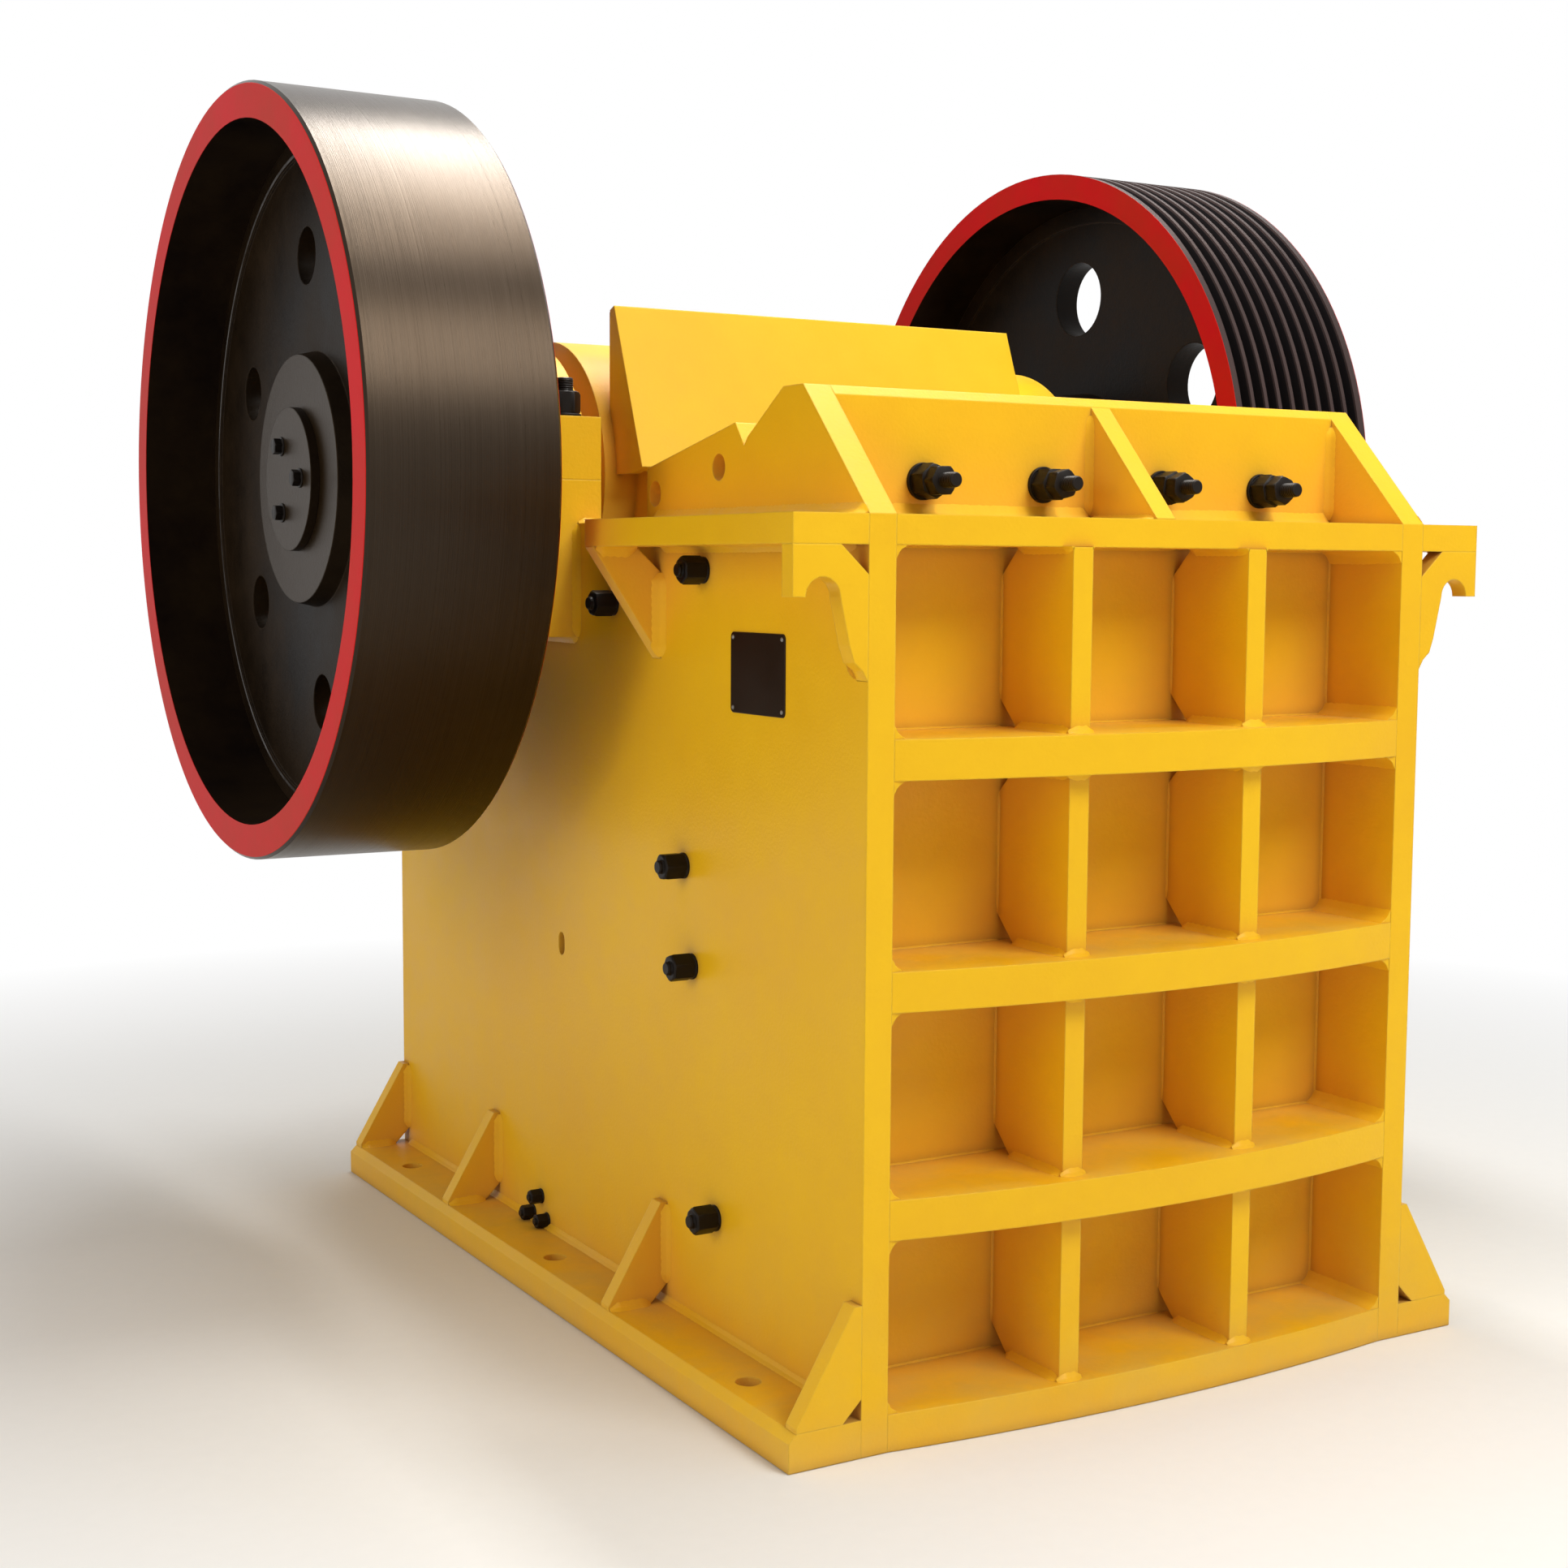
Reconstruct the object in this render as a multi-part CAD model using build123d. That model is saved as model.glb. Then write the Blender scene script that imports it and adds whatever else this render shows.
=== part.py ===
from build123d import *
import os
from math import asin, atan2, cos, radians, sin, sqrt, tan

# Jaw crusher of the 600 by 900 mm feed class, in millimetres.
# X runs across the machine, Y from the ribbed front wall to the rear, Z up.
# The origin is the middle of the base footprint, on the floor.
os.makedirs("parts", exist_ok=True)

# Frame box
frame_width = 1176
frame_length = 2040
frame_height = 1500
wall_thickness = 50
front_y = -frame_length / 2
wall_outer = frame_width / 2
wall_inner = wall_outer - wall_thickness
weld_cope = 35

# Base flange and its anchor holes
base_flange_width = 134
base_thickness = 62
base_edge_chamfer = 14
anchor_hole_radius = 22
anchor_edge_distance = 62
anchor_end_distance = 240
anchor_spacing_y = frame_length / 2 - anchor_end_distance
anchor_x = wall_outer + base_flange_width - anchor_edge_distance

# Top flange
top_flange_width = 136
top_flange_thickness = 48
flange_cap_gap = 379
top_flange_underside = frame_height - top_flange_thickness

# Ribbed front wall, three cells wide and four cells high
front_cell_depth = 182
front_plate_thickness = 44
front_plate_back = front_cell_depth + front_plate_thickness
front_rib_thickness = 66
front_rib_count = 3
front_cell_height_share = 0.2536
front_cells_height = top_flange_underside - base_thickness - front_rib_count * front_rib_thickness
front_cell_height = front_cells_height * front_cell_height_share
front_rib_pitch = front_cell_height + front_rib_thickness
front_rib_top_height = top_flange_underside - front_rib_pitch + front_rib_thickness / 2
front_rib_bow = 55
base_rib_bow = 35
stiffener_position_share = 0.3457
stiffener_x = wall_inner * stiffener_position_share
stiffener_thickness = 40
stiffener_proud = 14
stiffener_cope = 46

# Gussets of the base flange
gusset_thickness = 33
gusset_height = 250
gusset_top_width = 14
gusset_toe = 8
second_gusset_share = 0.3314
third_gusset_share = 0.7167
second_gusset_depth = frame_length * second_gusset_share
third_gusset_depth = frame_length * third_gusset_share

# Hooked lifting ears and the rear gussets of the top flange
ear_drop = 81
ear_throat_drop = 156
ear_nose_drop = 182
ear_tip_drop = 195
ear_root_drop = 212
hook_radius = 31
hook_from_edge = 54
ear_throat_width = 34
ear_nose_width = 25
ear_tip_width = 10
ear_cope_width = 50
ear_cope_height = 46
flange_gusset_drop = 202
ear_bottom_height = top_flange_underside - ear_drop
ear_throat_height = top_flange_underside - ear_throat_drop
ear_nose_height = top_flange_underside - ear_nose_drop
ear_tip_height = top_flange_underside - ear_tip_drop
ear_root_height = top_flange_underside - ear_root_drop
flange_gusset_bottom = top_flange_underside - flange_gusset_drop
hook_from_wall = top_flange_width - hook_from_edge

# Clamp wall over the front flange
clamp_wall_thickness = 38
clamp_wall_back = front_plate_back
clamp_wall_depth = clamp_wall_back - clamp_wall_thickness
clamp_wall_height = 210
clamp_wall_chamfer = 15
clamp_slope_top = clamp_wall_depth + clamp_wall_chamfer
clamp_rib_thickness = 40
clamp_rib_toe = 4

# Shaft line and bearings
shaft_from_rear = 640
shaft_above_frame = 84
shaft_depth = frame_length - shaft_from_rear
shaft_height = frame_height + shaft_above_frame
shaft_y = front_y + shaft_depth
throw = 15
running_gap = 0.5
fit_gap = 0.3
journal_radius = 112
eccentric_radius = 142
wheel_seat_radius = 100
journal_past_cap = 50
seat_inner = wall_inner
seat_proud = 62
seat_outer = wall_outer + seat_proud
seat_half_length = 342
seat_front = shaft_depth - seat_half_length
seat_rear = shaft_depth + seat_half_length
seat_drop = 304
seat_bottom_height = shaft_height - seat_drop
lug_height = 122
cap_radius = 285
cap_proud = 108
cap_outer = wall_outer + cap_proud
cap_edge_radius = 24
journal_length_outer = cap_outer + journal_past_cap
top_flange_length = shaft_depth - cap_radius - flange_cap_gap
cover_radius = 248
cover_thickness = 26

# Raised cheek at the top of each side wall, between the clamp wall and the bearing seat
cheek_flat_share = 0.0481
cheek_notch_start_share = 0.1911
cheek_notch_share = 0.2055
cheek_notch_end_share = 0.2428
cheek_rear_share = 0.6406
cheek_notch_start_rise = 134
cheek_notch_rise = 120
cheek_notch_end_rise = 160
cheek_rear_rise = 94
cheek_hole_radius = 23
cheek_hole_front_share = 0.3125
cheek_hole_rear_inset = 32
cheek_hole_front_rise = 87
cheek_hole_rear_rise = 48
slope_seat_gap = 126
wall_slope_start = seat_rear + slope_seat_gap
wall_rear_drop = 350
wall_rear_height = frame_height - wall_rear_drop

# Flywheel on the left and grooved sheave on the right
wheel_radius = 742
wheel_width = 357
flywheel_gap = 105
sheave_gap = 43
flywheel_inner = cap_outer + flywheel_gap
sheave_inner = cap_outer + sheave_gap
flywheel_rim_thickness = 68
sheave_rim_thickness = 56
flywheel_web_recess = 158
sheave_web_recess = 150
web_thickness = 62
hub_radius = 250
hub_proud = 36
hub_inner_length = 80
hub_draft = 8
web_hole_count = 6
flywheel_hole_share = 0.0755
flywheel_hole_circle_share = 0.593
flywheel_hole_turn = 26
sheave_hole_share = 0.1159
sheave_hole_circle_share = 0.6388
sheave_hole_turn = 28
rim_edge_chamfer = 6
machined_step = 5
machined_ring_width = 40
groove_count = 9
groove_pitch_share = 0.1036
groove_top_share = 0.757
groove_bottom_share = 0.27
groove_depth = 24
groove_pitch = wheel_width * groove_pitch_share
groove_top_width = groove_pitch * groove_top_share
groove_bottom_width = groove_pitch * groove_bottom_share
end_cap_radius = 140
end_cap_thickness = 18
flywheel_web_start = flywheel_web_recess - flywheel_inner - wheel_width
sheave_web_start = sheave_inner + sheave_web_recess
left_shaft_end = flywheel_web_start - hub_proud
right_shaft_end = sheave_web_start + web_thickness + hub_proud

# Crushing chamber
cheek_plate_thickness = 60
cheek_face = wall_inner - cheek_plate_thickness
cheek_bottom_height = 180
cheek_split_share = 0.5333
cheek_split_height = frame_height * cheek_split_share
cheek_split_gap = 4
cheek_top_drop = 40
cheek_top_height = frame_height - cheek_top_drop
cheek_overlap = 80
cheek_seat_gap = 118
jaw_side_gap = 3
jaw_plate_thickness = 90
tooth_height = 40
tooth_pitch = 95
tooth_crest_width = 26
tooth_valley_width = 26
fixed_plate_bottom = 180
wedge_height = 120
wedge_overhang = 84
wedge_top_width = 46

# Swing jaw, leaning back from the discharge to its head on the shaft line
discharge_gap = 99
discharge_depth = front_plate_back + jaw_plate_thickness + discharge_gap
discharge_height = 230
chamber_run = shaft_depth - discharge_depth
chamber_rise = shaft_height - discharge_height
jaw_head_offset = 406
jaw_reach = sqrt(chamber_run * chamber_run + chamber_rise * chamber_rise)
jaw_length = sqrt(jaw_reach * jaw_reach - jaw_head_offset * jaw_head_offset)
lean = atan2(chamber_run, chamber_rise) - asin(jaw_head_offset / jaw_reach)
plate_head_drop = 294
moving_plate_length = jaw_length - plate_head_drop
moving_plate_gap = 28
moving_plate_half = cheek_face - moving_plate_gap
jaw_head_radius = 280
jaw_head_gap = 38
jaw_head_half = seat_inner - jaw_head_gap
jaw_slab_thickness = 70
jaw_slab_foot = 30
jaw_web_thickness = 46
jaw_web_count = 5
jaw_web_waist = 150
jaw_clamp_height = 70
jaw_clamp_depth = 62
toggle_pocket_along = 245
toggle_pocket_back = 300
toggle_block_half_height = 95
jaw_block_inset = 20
jaw_block_half = moving_plate_half - jaw_block_inset

# Toggle, its seat and the return springs
toggle_end_radius = 30
toggle_plate_thickness = 52
toggle_inset = 30
toggle_half_width = jaw_block_half - toggle_inset
pocket_clearance = 6
toggle_seat_height = 438
toggle_seat_half = jaw_block_half
toggle_seat_half_height = 105
toggle_seat_length = 220
shim_inset = 26
shim_thickness = 90
rod_position_share = 0.2442
rod_x = jaw_block_half * rod_position_share
rod_height = 150
rod_radius = 21
rod_front_gap = 24
rod_end_gap = 8
spring_outer_radius = 58
spring_plate_thickness = 18

# Rear wall
rear_pocket_depth = 250
rear_plate_depth = frame_length - rear_pocket_depth
rear_plate_thickness = 46
rear_plate_drop = 20
rear_plate_height = wall_rear_height - rear_plate_drop
rear_rib_thickness = 60
rear_rib_drop = 48
rear_rib_top_height = rear_plate_height - rear_rib_drop
rear_rib_middle_height = (toggle_seat_height + rear_rib_top_height) / 2
rear_rib_heights = (toggle_seat_height, rear_rib_middle_height, rear_rib_top_height)
rear_rib_inset = 12
toggle_seat_depth = rear_plate_depth - shim_thickness - toggle_seat_length
rear_stiffener_inset = 26

# Feed guard on the head of the swing jaw
guard_inset = 25
guard_half_width = jaw_head_half - guard_inset
guard_foot_offset = 394
guard_foot_rise = 26
guard_top_offset = 270
guard_top_rise = 346
guard_foot_depth = shaft_depth - guard_foot_offset
guard_foot_height = shaft_height + guard_foot_rise
guard_top_depth = shaft_depth - guard_top_offset
guard_top_height = shaft_height + guard_top_rise
guard_thickness = 20
guard_gusset_thickness = 16
guard_gusset_overhang = 20
guard_gusset_rear = guard_top_depth + guard_gusset_overhang
guard_top_flat = 12
guard_gusset_foot = 40

# Wall fittings
wall_slot_depth = 1141
wall_slot_height = 664
wall_slot_radius = 14
wall_slot_length = 46
overrun = 20


def at_depth(depth):
    """Y of a place measured back from the front plane of the frame."""
    return front_y + depth


def slab(x0, x1, depth0, depth1, z0, z1):
    """Plain plate between two X, two depths and two heights."""
    centre = Pos((x0 + x1) / 2, at_depth((depth0 + depth1) / 2), (z0 + z1) / 2)
    return centre * Box(x1 - x0, depth1 - depth0, z1 - z0)


def across(outline, x0, x1):
    """Side view outline, drawn in Y and Z, made into a plate from x0 to x1."""
    return extrude(Plane.YZ.offset(x0) * outline, x1 - x0)


def side_face(points):
    """Closed side view face from (depth, height) points."""
    placed = [(at_depth(depth), height) for depth, height in points]
    return make_face(Polyline(*placed, close=True))


def upright(points, depth0, depth1):
    """Front view outline, (x, height) points, made into a plate between two depths."""
    face = make_face(Polyline(*points, close=True))
    back_plane = Plane(origin=(0, at_depth(depth1), 0), x_dir=(1, 0, 0), z_dir=(0, -1, 0))
    return extrude(back_plane * face, depth1 - depth0)


def shaft_bar(radius, x0, x1, y=shaft_y, z=shaft_height):
    """Round bar along X about the shaft line."""
    return Pos((x0 + x1) / 2, y, z) * Rot(0, 90, 0) * Cylinder(radius, x1 - x0)


def mirrored(shape):
    """The same piece on the other side of the machine."""
    return mirror(shape, Plane.YZ)


def many(shapes):
    """Several separate solids kept together as one node."""
    return Compound(children=list(shapes))


# Side walls, each one plate with a raised cheek and a notch for the bearing seat
def cheek_point(share, rise):
    """Depth and height of a point between the clamp wall and the bearing seat."""
    return clamp_wall_back + (seat_front - clamp_wall_back) * share, frame_height + rise


def side_wall():
    outline = side_face([
        (0, 0),
        (0, frame_height),
        (clamp_slope_top, frame_height + clamp_wall_height),
        cheek_point(cheek_flat_share, clamp_wall_height),
        cheek_point(cheek_notch_start_share, cheek_notch_start_rise),
        cheek_point(cheek_notch_share, cheek_notch_rise),
        cheek_point(cheek_notch_end_share, cheek_notch_end_rise),
        cheek_point(cheek_rear_share, cheek_rear_rise),
        cheek_point(cheek_rear_share, 0),
        (seat_front, frame_height),
        (seat_front, seat_bottom_height),
        (seat_rear, seat_bottom_height),
        (seat_rear, frame_height),
        (wall_slope_start, frame_height),
        (frame_length, wall_rear_height),
        (frame_length, 0),
    ])
    front_hole = cheek_point(cheek_hole_front_share, cheek_hole_front_rise)
    rear_edge, rear_hole_height = cheek_point(cheek_rear_share, cheek_hole_rear_rise)
    rear_hole = (rear_edge - cheek_hole_rear_inset, rear_hole_height)
    for depth, height in (front_hole, rear_hole):
        outline -= Pos(at_depth(depth), height) * Circle(cheek_hole_radius)
    slot = SlotOverall(wall_slot_length, wall_slot_radius * 2, rotation=90)
    outline -= Pos(at_depth(wall_slot_depth), wall_slot_height) * slot
    return across(outline, wall_inner, wall_outer)


# Front wall: back plate, bowed horizontal ribs and upright stiffeners
def bowed_bar(half_width, bow, depth, z0, z1):
    """Flat bar whose front edge is an arc that stands out by bow at the middle."""
    front = ThreePointArc(
        (-half_width, at_depth(0)), (0, at_depth(-bow)), (half_width, at_depth(0)))
    sides = Polyline(
        (half_width, at_depth(0)), (half_width, at_depth(depth)),
        (-half_width, at_depth(depth)), (-half_width, at_depth(0)))
    return extrude(Plane.XY.offset(z0) * make_face(front + sides), z1 - z0)


def front_rib_height(index):
    """Middle height of a horizontal front rib, counted from the top."""
    return front_rib_top_height - index * front_rib_pitch


def front_rib(index):
    middle = front_rib_height(index)
    half = front_rib_thickness / 2
    return bowed_bar(wall_inner, front_rib_bow, front_cell_depth, middle - half, middle + half)


def front_cell_levels():
    """Bottom and top height of the four rows of cells, from the floor up."""
    half = front_rib_thickness / 2
    bottoms = [base_thickness] + [front_rib_height(i) + half for i in (2, 1, 0)]
    tops = [front_rib_height(i) - half for i in (2, 1, 0)] + [top_flange_underside]
    return list(zip(bottoms, tops))


def stiffener_column(x):
    """Four upright plates, with their two rear corners cut back for the weld."""
    plates = []
    for bottom, top in front_cell_levels():
        face = side_face([
            (-stiffener_proud, bottom),
            (-stiffener_proud, top),
            (front_cell_depth - stiffener_cope, top),
            (front_cell_depth, top - stiffener_cope),
            (front_cell_depth, bottom + stiffener_cope),
            (front_cell_depth - stiffener_cope, bottom),
        ])
        half = stiffener_thickness / 2
        plates.append(across(face, x - half, x + half))
    return many(plates)


# Base: side flanges with anchor holes, front and rear bars, gussets
def base_flange():
    plate = slab(wall_outer, wall_outer + base_flange_width, 0, frame_length, 0, base_thickness)
    top_edge = plate.edges().filter_by(Axis.Y).group_by(Axis.Z)[-1].sort_by(Axis.X)[-1]
    plate = chamfer(top_edge, base_edge_chamfer)
    for y in (-anchor_spacing_y, 0, anchor_spacing_y):
        plate -= Pos(anchor_x, y, base_thickness / 2) * Cylinder(
            anchor_hole_radius, base_thickness + overrun)
    return plate


def base_gusset(depth0):
    toe = wall_outer + base_flange_width - base_edge_chamfer
    return upright([
        (wall_outer, base_thickness + weld_cope),
        (wall_outer, gusset_height),
        (wall_outer + gusset_top_width, gusset_height),
        (toe, base_thickness + gusset_toe),
        (toe, base_thickness),
        (wall_outer + weld_cope, base_thickness),
    ], depth0, depth0 + gusset_thickness)


def base_gussets():
    depths = (0, second_gusset_depth, third_gusset_depth, frame_length - gusset_thickness)
    return many(base_gusset(depth) for depth in depths)


# Lifting ear: a plate under the flange corner with a half round hook
def lifting_ear():
    outer = wall_outer + top_flange_width
    hook_x = wall_outer + hook_from_wall
    plate = upright([
        (wall_outer, top_flange_underside - ear_cope_height),
        (wall_outer + ear_cope_width, top_flange_underside),
        (outer, top_flange_underside),
        (outer, ear_bottom_height),
        (hook_x - hook_radius, ear_bottom_height),
        (wall_outer + ear_throat_width, ear_throat_height),
        (wall_outer + ear_nose_width, ear_nose_height),
        (wall_outer + ear_tip_width, ear_tip_height),
        (wall_outer, ear_root_height),
    ], 0, gusset_thickness)
    hook = Pos(hook_x, at_depth(gusset_thickness / 2), ear_bottom_height)
    return plate - hook * Rot(90, 0, 0) * Cylinder(hook_radius, gusset_thickness + overrun)


def flange_gusset():
    return upright([
        (wall_outer, top_flange_underside - ear_cope_height),
        (wall_outer + ear_cope_width, top_flange_underside),
        (wall_outer + top_flange_width, top_flange_underside),
        (wall_outer, flange_gusset_bottom),
    ], top_flange_length - gusset_thickness, top_flange_length)


# Clamp wall above the front flange, with its middle rib
def clamp_wall():
    top = frame_height + clamp_wall_height
    wall = side_face([
        (clamp_wall_depth, frame_height),
        (clamp_wall_depth, top - clamp_wall_chamfer),
        (clamp_slope_top, top),
        (clamp_wall_back, top),
        (clamp_wall_back, frame_height),
    ])
    rib = side_face([
        (clamp_rib_toe, frame_height),
        (clamp_slope_top, top),
        (clamp_wall_back, top),
        (clamp_wall_back, frame_height),
    ])
    half = clamp_rib_thickness / 2
    return across(wall, -wall_inner, wall_inner) + across(rib, -half, half)


# Bearings: seat welded into the wall notch, cap with bolting lugs, round cover
def bearing_bore():
    return shaft_bar(journal_radius + running_gap, seat_inner - overrun, cap_outer + overrun)


def half_space(z0, z1):
    reach = seat_half_length + overrun
    return slab(
        seat_inner - overrun, cap_outer + overrun,
        shaft_depth - reach, shaft_depth + reach, z0, z1)


def bearing_seat():
    block = slab(
        seat_inner, seat_outer, seat_front, seat_rear,
        seat_bottom_height, shaft_height)
    boss = shaft_bar(cap_radius, seat_outer, cap_outer)
    boss = boss & half_space(shaft_height - cap_radius - overrun, shaft_height)
    return block + boss - bearing_bore()


def bearing_cap():
    lugs = slab(
        seat_inner, seat_outer, seat_front, seat_rear,
        shaft_height, shaft_height + lug_height)
    dome = shaft_bar(cap_radius, seat_inner, cap_outer)
    outer_rim = dome.edges().filter_by(GeomType.CIRCLE).sort_by(Axis.X)[-1]
    dome = fillet(outer_rim, cap_edge_radius)
    dome = dome & half_space(shaft_height, shaft_height + cap_radius + overrun)
    return lugs + dome - bearing_bore()


def bearing_cover():
    disc = shaft_bar(cover_radius, cap_outer, cap_outer + cover_thickness)
    bore = shaft_bar(
        journal_radius + running_gap, cap_outer - overrun, cap_outer + cover_thickness + overrun)
    return disc - bore


# Turned pieces are half sections, (distance along X, radius), spun about the shaft line
def turned(points):
    placed = [(x, shaft_y, shaft_height + radius) for x, radius in points]
    section = make_face(Polyline(*placed, close=True))
    return revolve(section, Axis((0, shaft_y, shaft_height), (1, 0, 0)), 360)


def flywheel_rim():
    inner = -flywheel_inner
    outer = -flywheel_inner - wheel_width
    bore = wheel_radius - flywheel_rim_thickness
    return turned([
        (outer, bore),
        (outer, wheel_radius - rim_edge_chamfer),
        (outer + rim_edge_chamfer, wheel_radius),
        (inner - rim_edge_chamfer, wheel_radius),
        (inner, wheel_radius - rim_edge_chamfer),
        (inner, bore),
    ])


def sheave_rim():
    """Rim with V grooves, drawn groove by groove along the outside."""
    inner = sheave_inner
    outer = sheave_inner + wheel_width
    bore = wheel_radius - sheave_rim_thickness
    first = (inner + outer) / 2 - groove_pitch * (groove_count - 1) / 2
    outside = [(inner, wheel_radius)]
    for index in range(groove_count):
        middle = first + index * groove_pitch
        outside.append((middle - groove_top_width / 2, wheel_radius))
        outside.append((middle - groove_bottom_width / 2, wheel_radius - groove_depth))
        outside.append((middle + groove_bottom_width / 2, wheel_radius - groove_depth))
        outside.append((middle + groove_top_width / 2, wheel_radius))
    outside.append((outer, wheel_radius))
    return turned([(inner, bore)] + outside + [(outer, bore)])


def wheel_web(web_start, hub_start, hub_end, bore):
    """Disc with a hub on both faces and a machined ring beside the rim."""
    web_end = web_start + web_thickness
    seat = wheel_seat_radius + fit_gap
    rim_seat = bore - fit_gap
    ring_radius = bore - machined_ring_width
    return turned([
        (hub_start, seat),
        (hub_start, hub_radius - hub_draft),
        (web_start, hub_radius),
        (web_start, ring_radius),
        (web_start - machined_step, ring_radius),
        (web_start - machined_step, rim_seat),
        (web_end + machined_step, rim_seat),
        (web_end + machined_step, ring_radius),
        (web_end, ring_radius),
        (web_end, hub_radius),
        (hub_end, hub_radius - hub_draft),
        (hub_end, seat),
    ])


def drilled(web, web_start, radius, circle, first_turn):
    """The web with its ring of round holes."""
    for index in range(web_hole_count):
        turn = radians(first_turn + 360 / web_hole_count * index)
        web -= shaft_bar(
            radius, web_start - overrun, web_start + web_thickness + overrun,
            shaft_y + circle * cos(turn), shaft_height + circle * sin(turn))
    return web


def flywheel_web():
    web = wheel_web(
        flywheel_web_start, left_shaft_end, flywheel_web_start + web_thickness + hub_inner_length,
        wheel_radius - flywheel_rim_thickness)
    return drilled(
        web, flywheel_web_start, wheel_radius * flywheel_hole_share,
        wheel_radius * flywheel_hole_circle_share, flywheel_hole_turn)


def sheave_web():
    web = wheel_web(
        sheave_web_start, sheave_web_start - hub_inner_length, right_shaft_end,
        wheel_radius - sheave_rim_thickness)
    return drilled(
        web, sheave_web_start, wheel_radius * sheave_hole_share,
        wheel_radius * sheave_hole_circle_share, sheave_hole_turn)


def eccentric_shaft():
    """Stepped shaft whose middle part is turned off centre by the throw."""
    body = shaft_bar(wheel_seat_radius, left_shaft_end, right_shaft_end)
    body += shaft_bar(journal_radius, -journal_length_outer, journal_length_outer)
    middle = seat_inner - running_gap
    body += shaft_bar(eccentric_radius, -middle, middle, shaft_y, shaft_height + throw)
    return body


def end_cap(x0, x1):
    return shaft_bar(end_cap_radius, x0, x1)


# Corrugated wear plate: teeth along its length, drawn across its width
def tooth_outline(half_width, whole_pitch):
    """Crests and valleys from one side to the other, as (across, out) points."""
    flank = (tooth_pitch - tooth_crest_width - tooth_valley_width) / 2
    body = jaw_plate_thickness - tooth_height
    count = int((2 * half_width - tooth_crest_width) // tooth_pitch)
    teeth = count if whole_pitch else count - 1
    start = -teeth * tooth_pitch / 2
    points = [(-half_width, body)]
    for index in range(teeth):
        left = start + index * tooth_pitch + tooth_valley_width / 2
        points.append((left, body))
        points.append((left + flank, jaw_plate_thickness))
        points.append((left + flank + tooth_crest_width, jaw_plate_thickness))
        points.append((left + 2 * flank + tooth_crest_width, body))
    points.append((half_width, body))
    return [(-half_width, 0)] + points + [(half_width, 0)]


def fixed_jaw_plate():
    half = cheek_face - jaw_side_gap
    placed = [(x, at_depth(front_plate_back + out)) for x, out in tooth_outline(half, True)]
    face = make_face(Polyline(*placed, close=True))
    return extrude(Plane.XY.offset(fixed_plate_bottom) * face, frame_height - fixed_plate_bottom)


# The swing jaw is drawn upright, with its tooth crests in one plane, and then leaned back
def jaw_place(along, back):
    """Depth and height of a point of the jaw, at rest with the eccentric at its top."""
    depth = discharge_depth + along * sin(lean) + back * cos(lean)
    height = discharge_height + along * cos(lean) - back * sin(lean) + throw
    return depth, height


def jaw_face(points):
    return side_face([jaw_place(along, back) for along, back in points])


def moving_jaw_plate():
    depth, height = jaw_place(0, jaw_plate_thickness)
    foot = Plane(
        origin=(0, at_depth(depth), height), x_dir=(1, 0, 0), z_dir=(0, sin(lean), cos(lean)))
    placed = [(x, -out) for x, out in tooth_outline(moving_plate_half, False)]
    return extrude(foot * make_face(Polyline(*placed, close=True)), moving_plate_length)


def jaw_web_places():
    span = 2 * jaw_block_half - jaw_web_thickness
    first = -span / 2
    return [first + index * span / (jaw_web_count - 1) for index in range(jaw_web_count)]


def pocket_centre():
    """Middle of the toggle's front end, where it is with the jaw in mid stroke."""
    depth, height = jaw_place(toggle_pocket_along, toggle_pocket_back)
    return depth, height - throw


def swing_jaw_body():
    """Head barrel, front slab, upright webs and the block that holds the toggle pocket."""
    head_z = shaft_height + throw
    barrel = shaft_bar(jaw_head_radius, -jaw_head_half, jaw_head_half, shaft_y, head_z)
    front = jaw_plate_thickness
    slab_back = front + jaw_slab_thickness
    slab_outline = jaw_face([
        (-jaw_slab_foot, front), (jaw_length, front), (jaw_length, slab_back),
        (-jaw_slab_foot, slab_back)])
    jaw = barrel + across(slab_outline, -jaw_block_half, jaw_block_half)
    web_outline = jaw_face([
        (jaw_slab_foot, slab_back - fit_gap),
        (toggle_pocket_along - toggle_block_half_height, toggle_pocket_back),
        (toggle_pocket_along + toggle_block_half_height, toggle_pocket_back),
        (jaw_length - jaw_head_radius, jaw_head_offset + jaw_web_waist),
        (jaw_length, jaw_head_offset + jaw_head_radius - fit_gap),
        (jaw_length, slab_back - fit_gap),
    ])
    half = jaw_web_thickness / 2
    for x in jaw_web_places():
        jaw += across(web_outline, x - half, x + half)
    block_outline = jaw_face([
        (toggle_pocket_along - toggle_block_half_height, front),
        (toggle_pocket_along - toggle_block_half_height, toggle_pocket_back),
        (toggle_pocket_along + toggle_block_half_height, toggle_pocket_back),
        (toggle_pocket_along + toggle_block_half_height, front),
    ])
    jaw += across(block_outline, -jaw_block_half, jaw_block_half)
    clamp_outline = jaw_face([
        (moving_plate_length + fit_gap, front - jaw_clamp_depth),
        (moving_plate_length + jaw_clamp_height, front - jaw_clamp_depth / 2),
        (moving_plate_length + jaw_clamp_height, front + fit_gap),
        (moving_plate_length + fit_gap, front + fit_gap),
    ])
    jaw += across(clamp_outline, -moving_plate_half, moving_plate_half)
    depth, height = pocket_centre()
    pocket_radius = toggle_end_radius + throw + pocket_clearance
    jaw -= shaft_bar(
        pocket_radius, -jaw_head_half - overrun, jaw_head_half + overrun,
        at_depth(depth), height + throw)
    bore = shaft_bar(
        eccentric_radius + running_gap, -jaw_head_half - overrun, jaw_head_half + overrun,
        shaft_y, head_z)
    return jaw - bore


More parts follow.
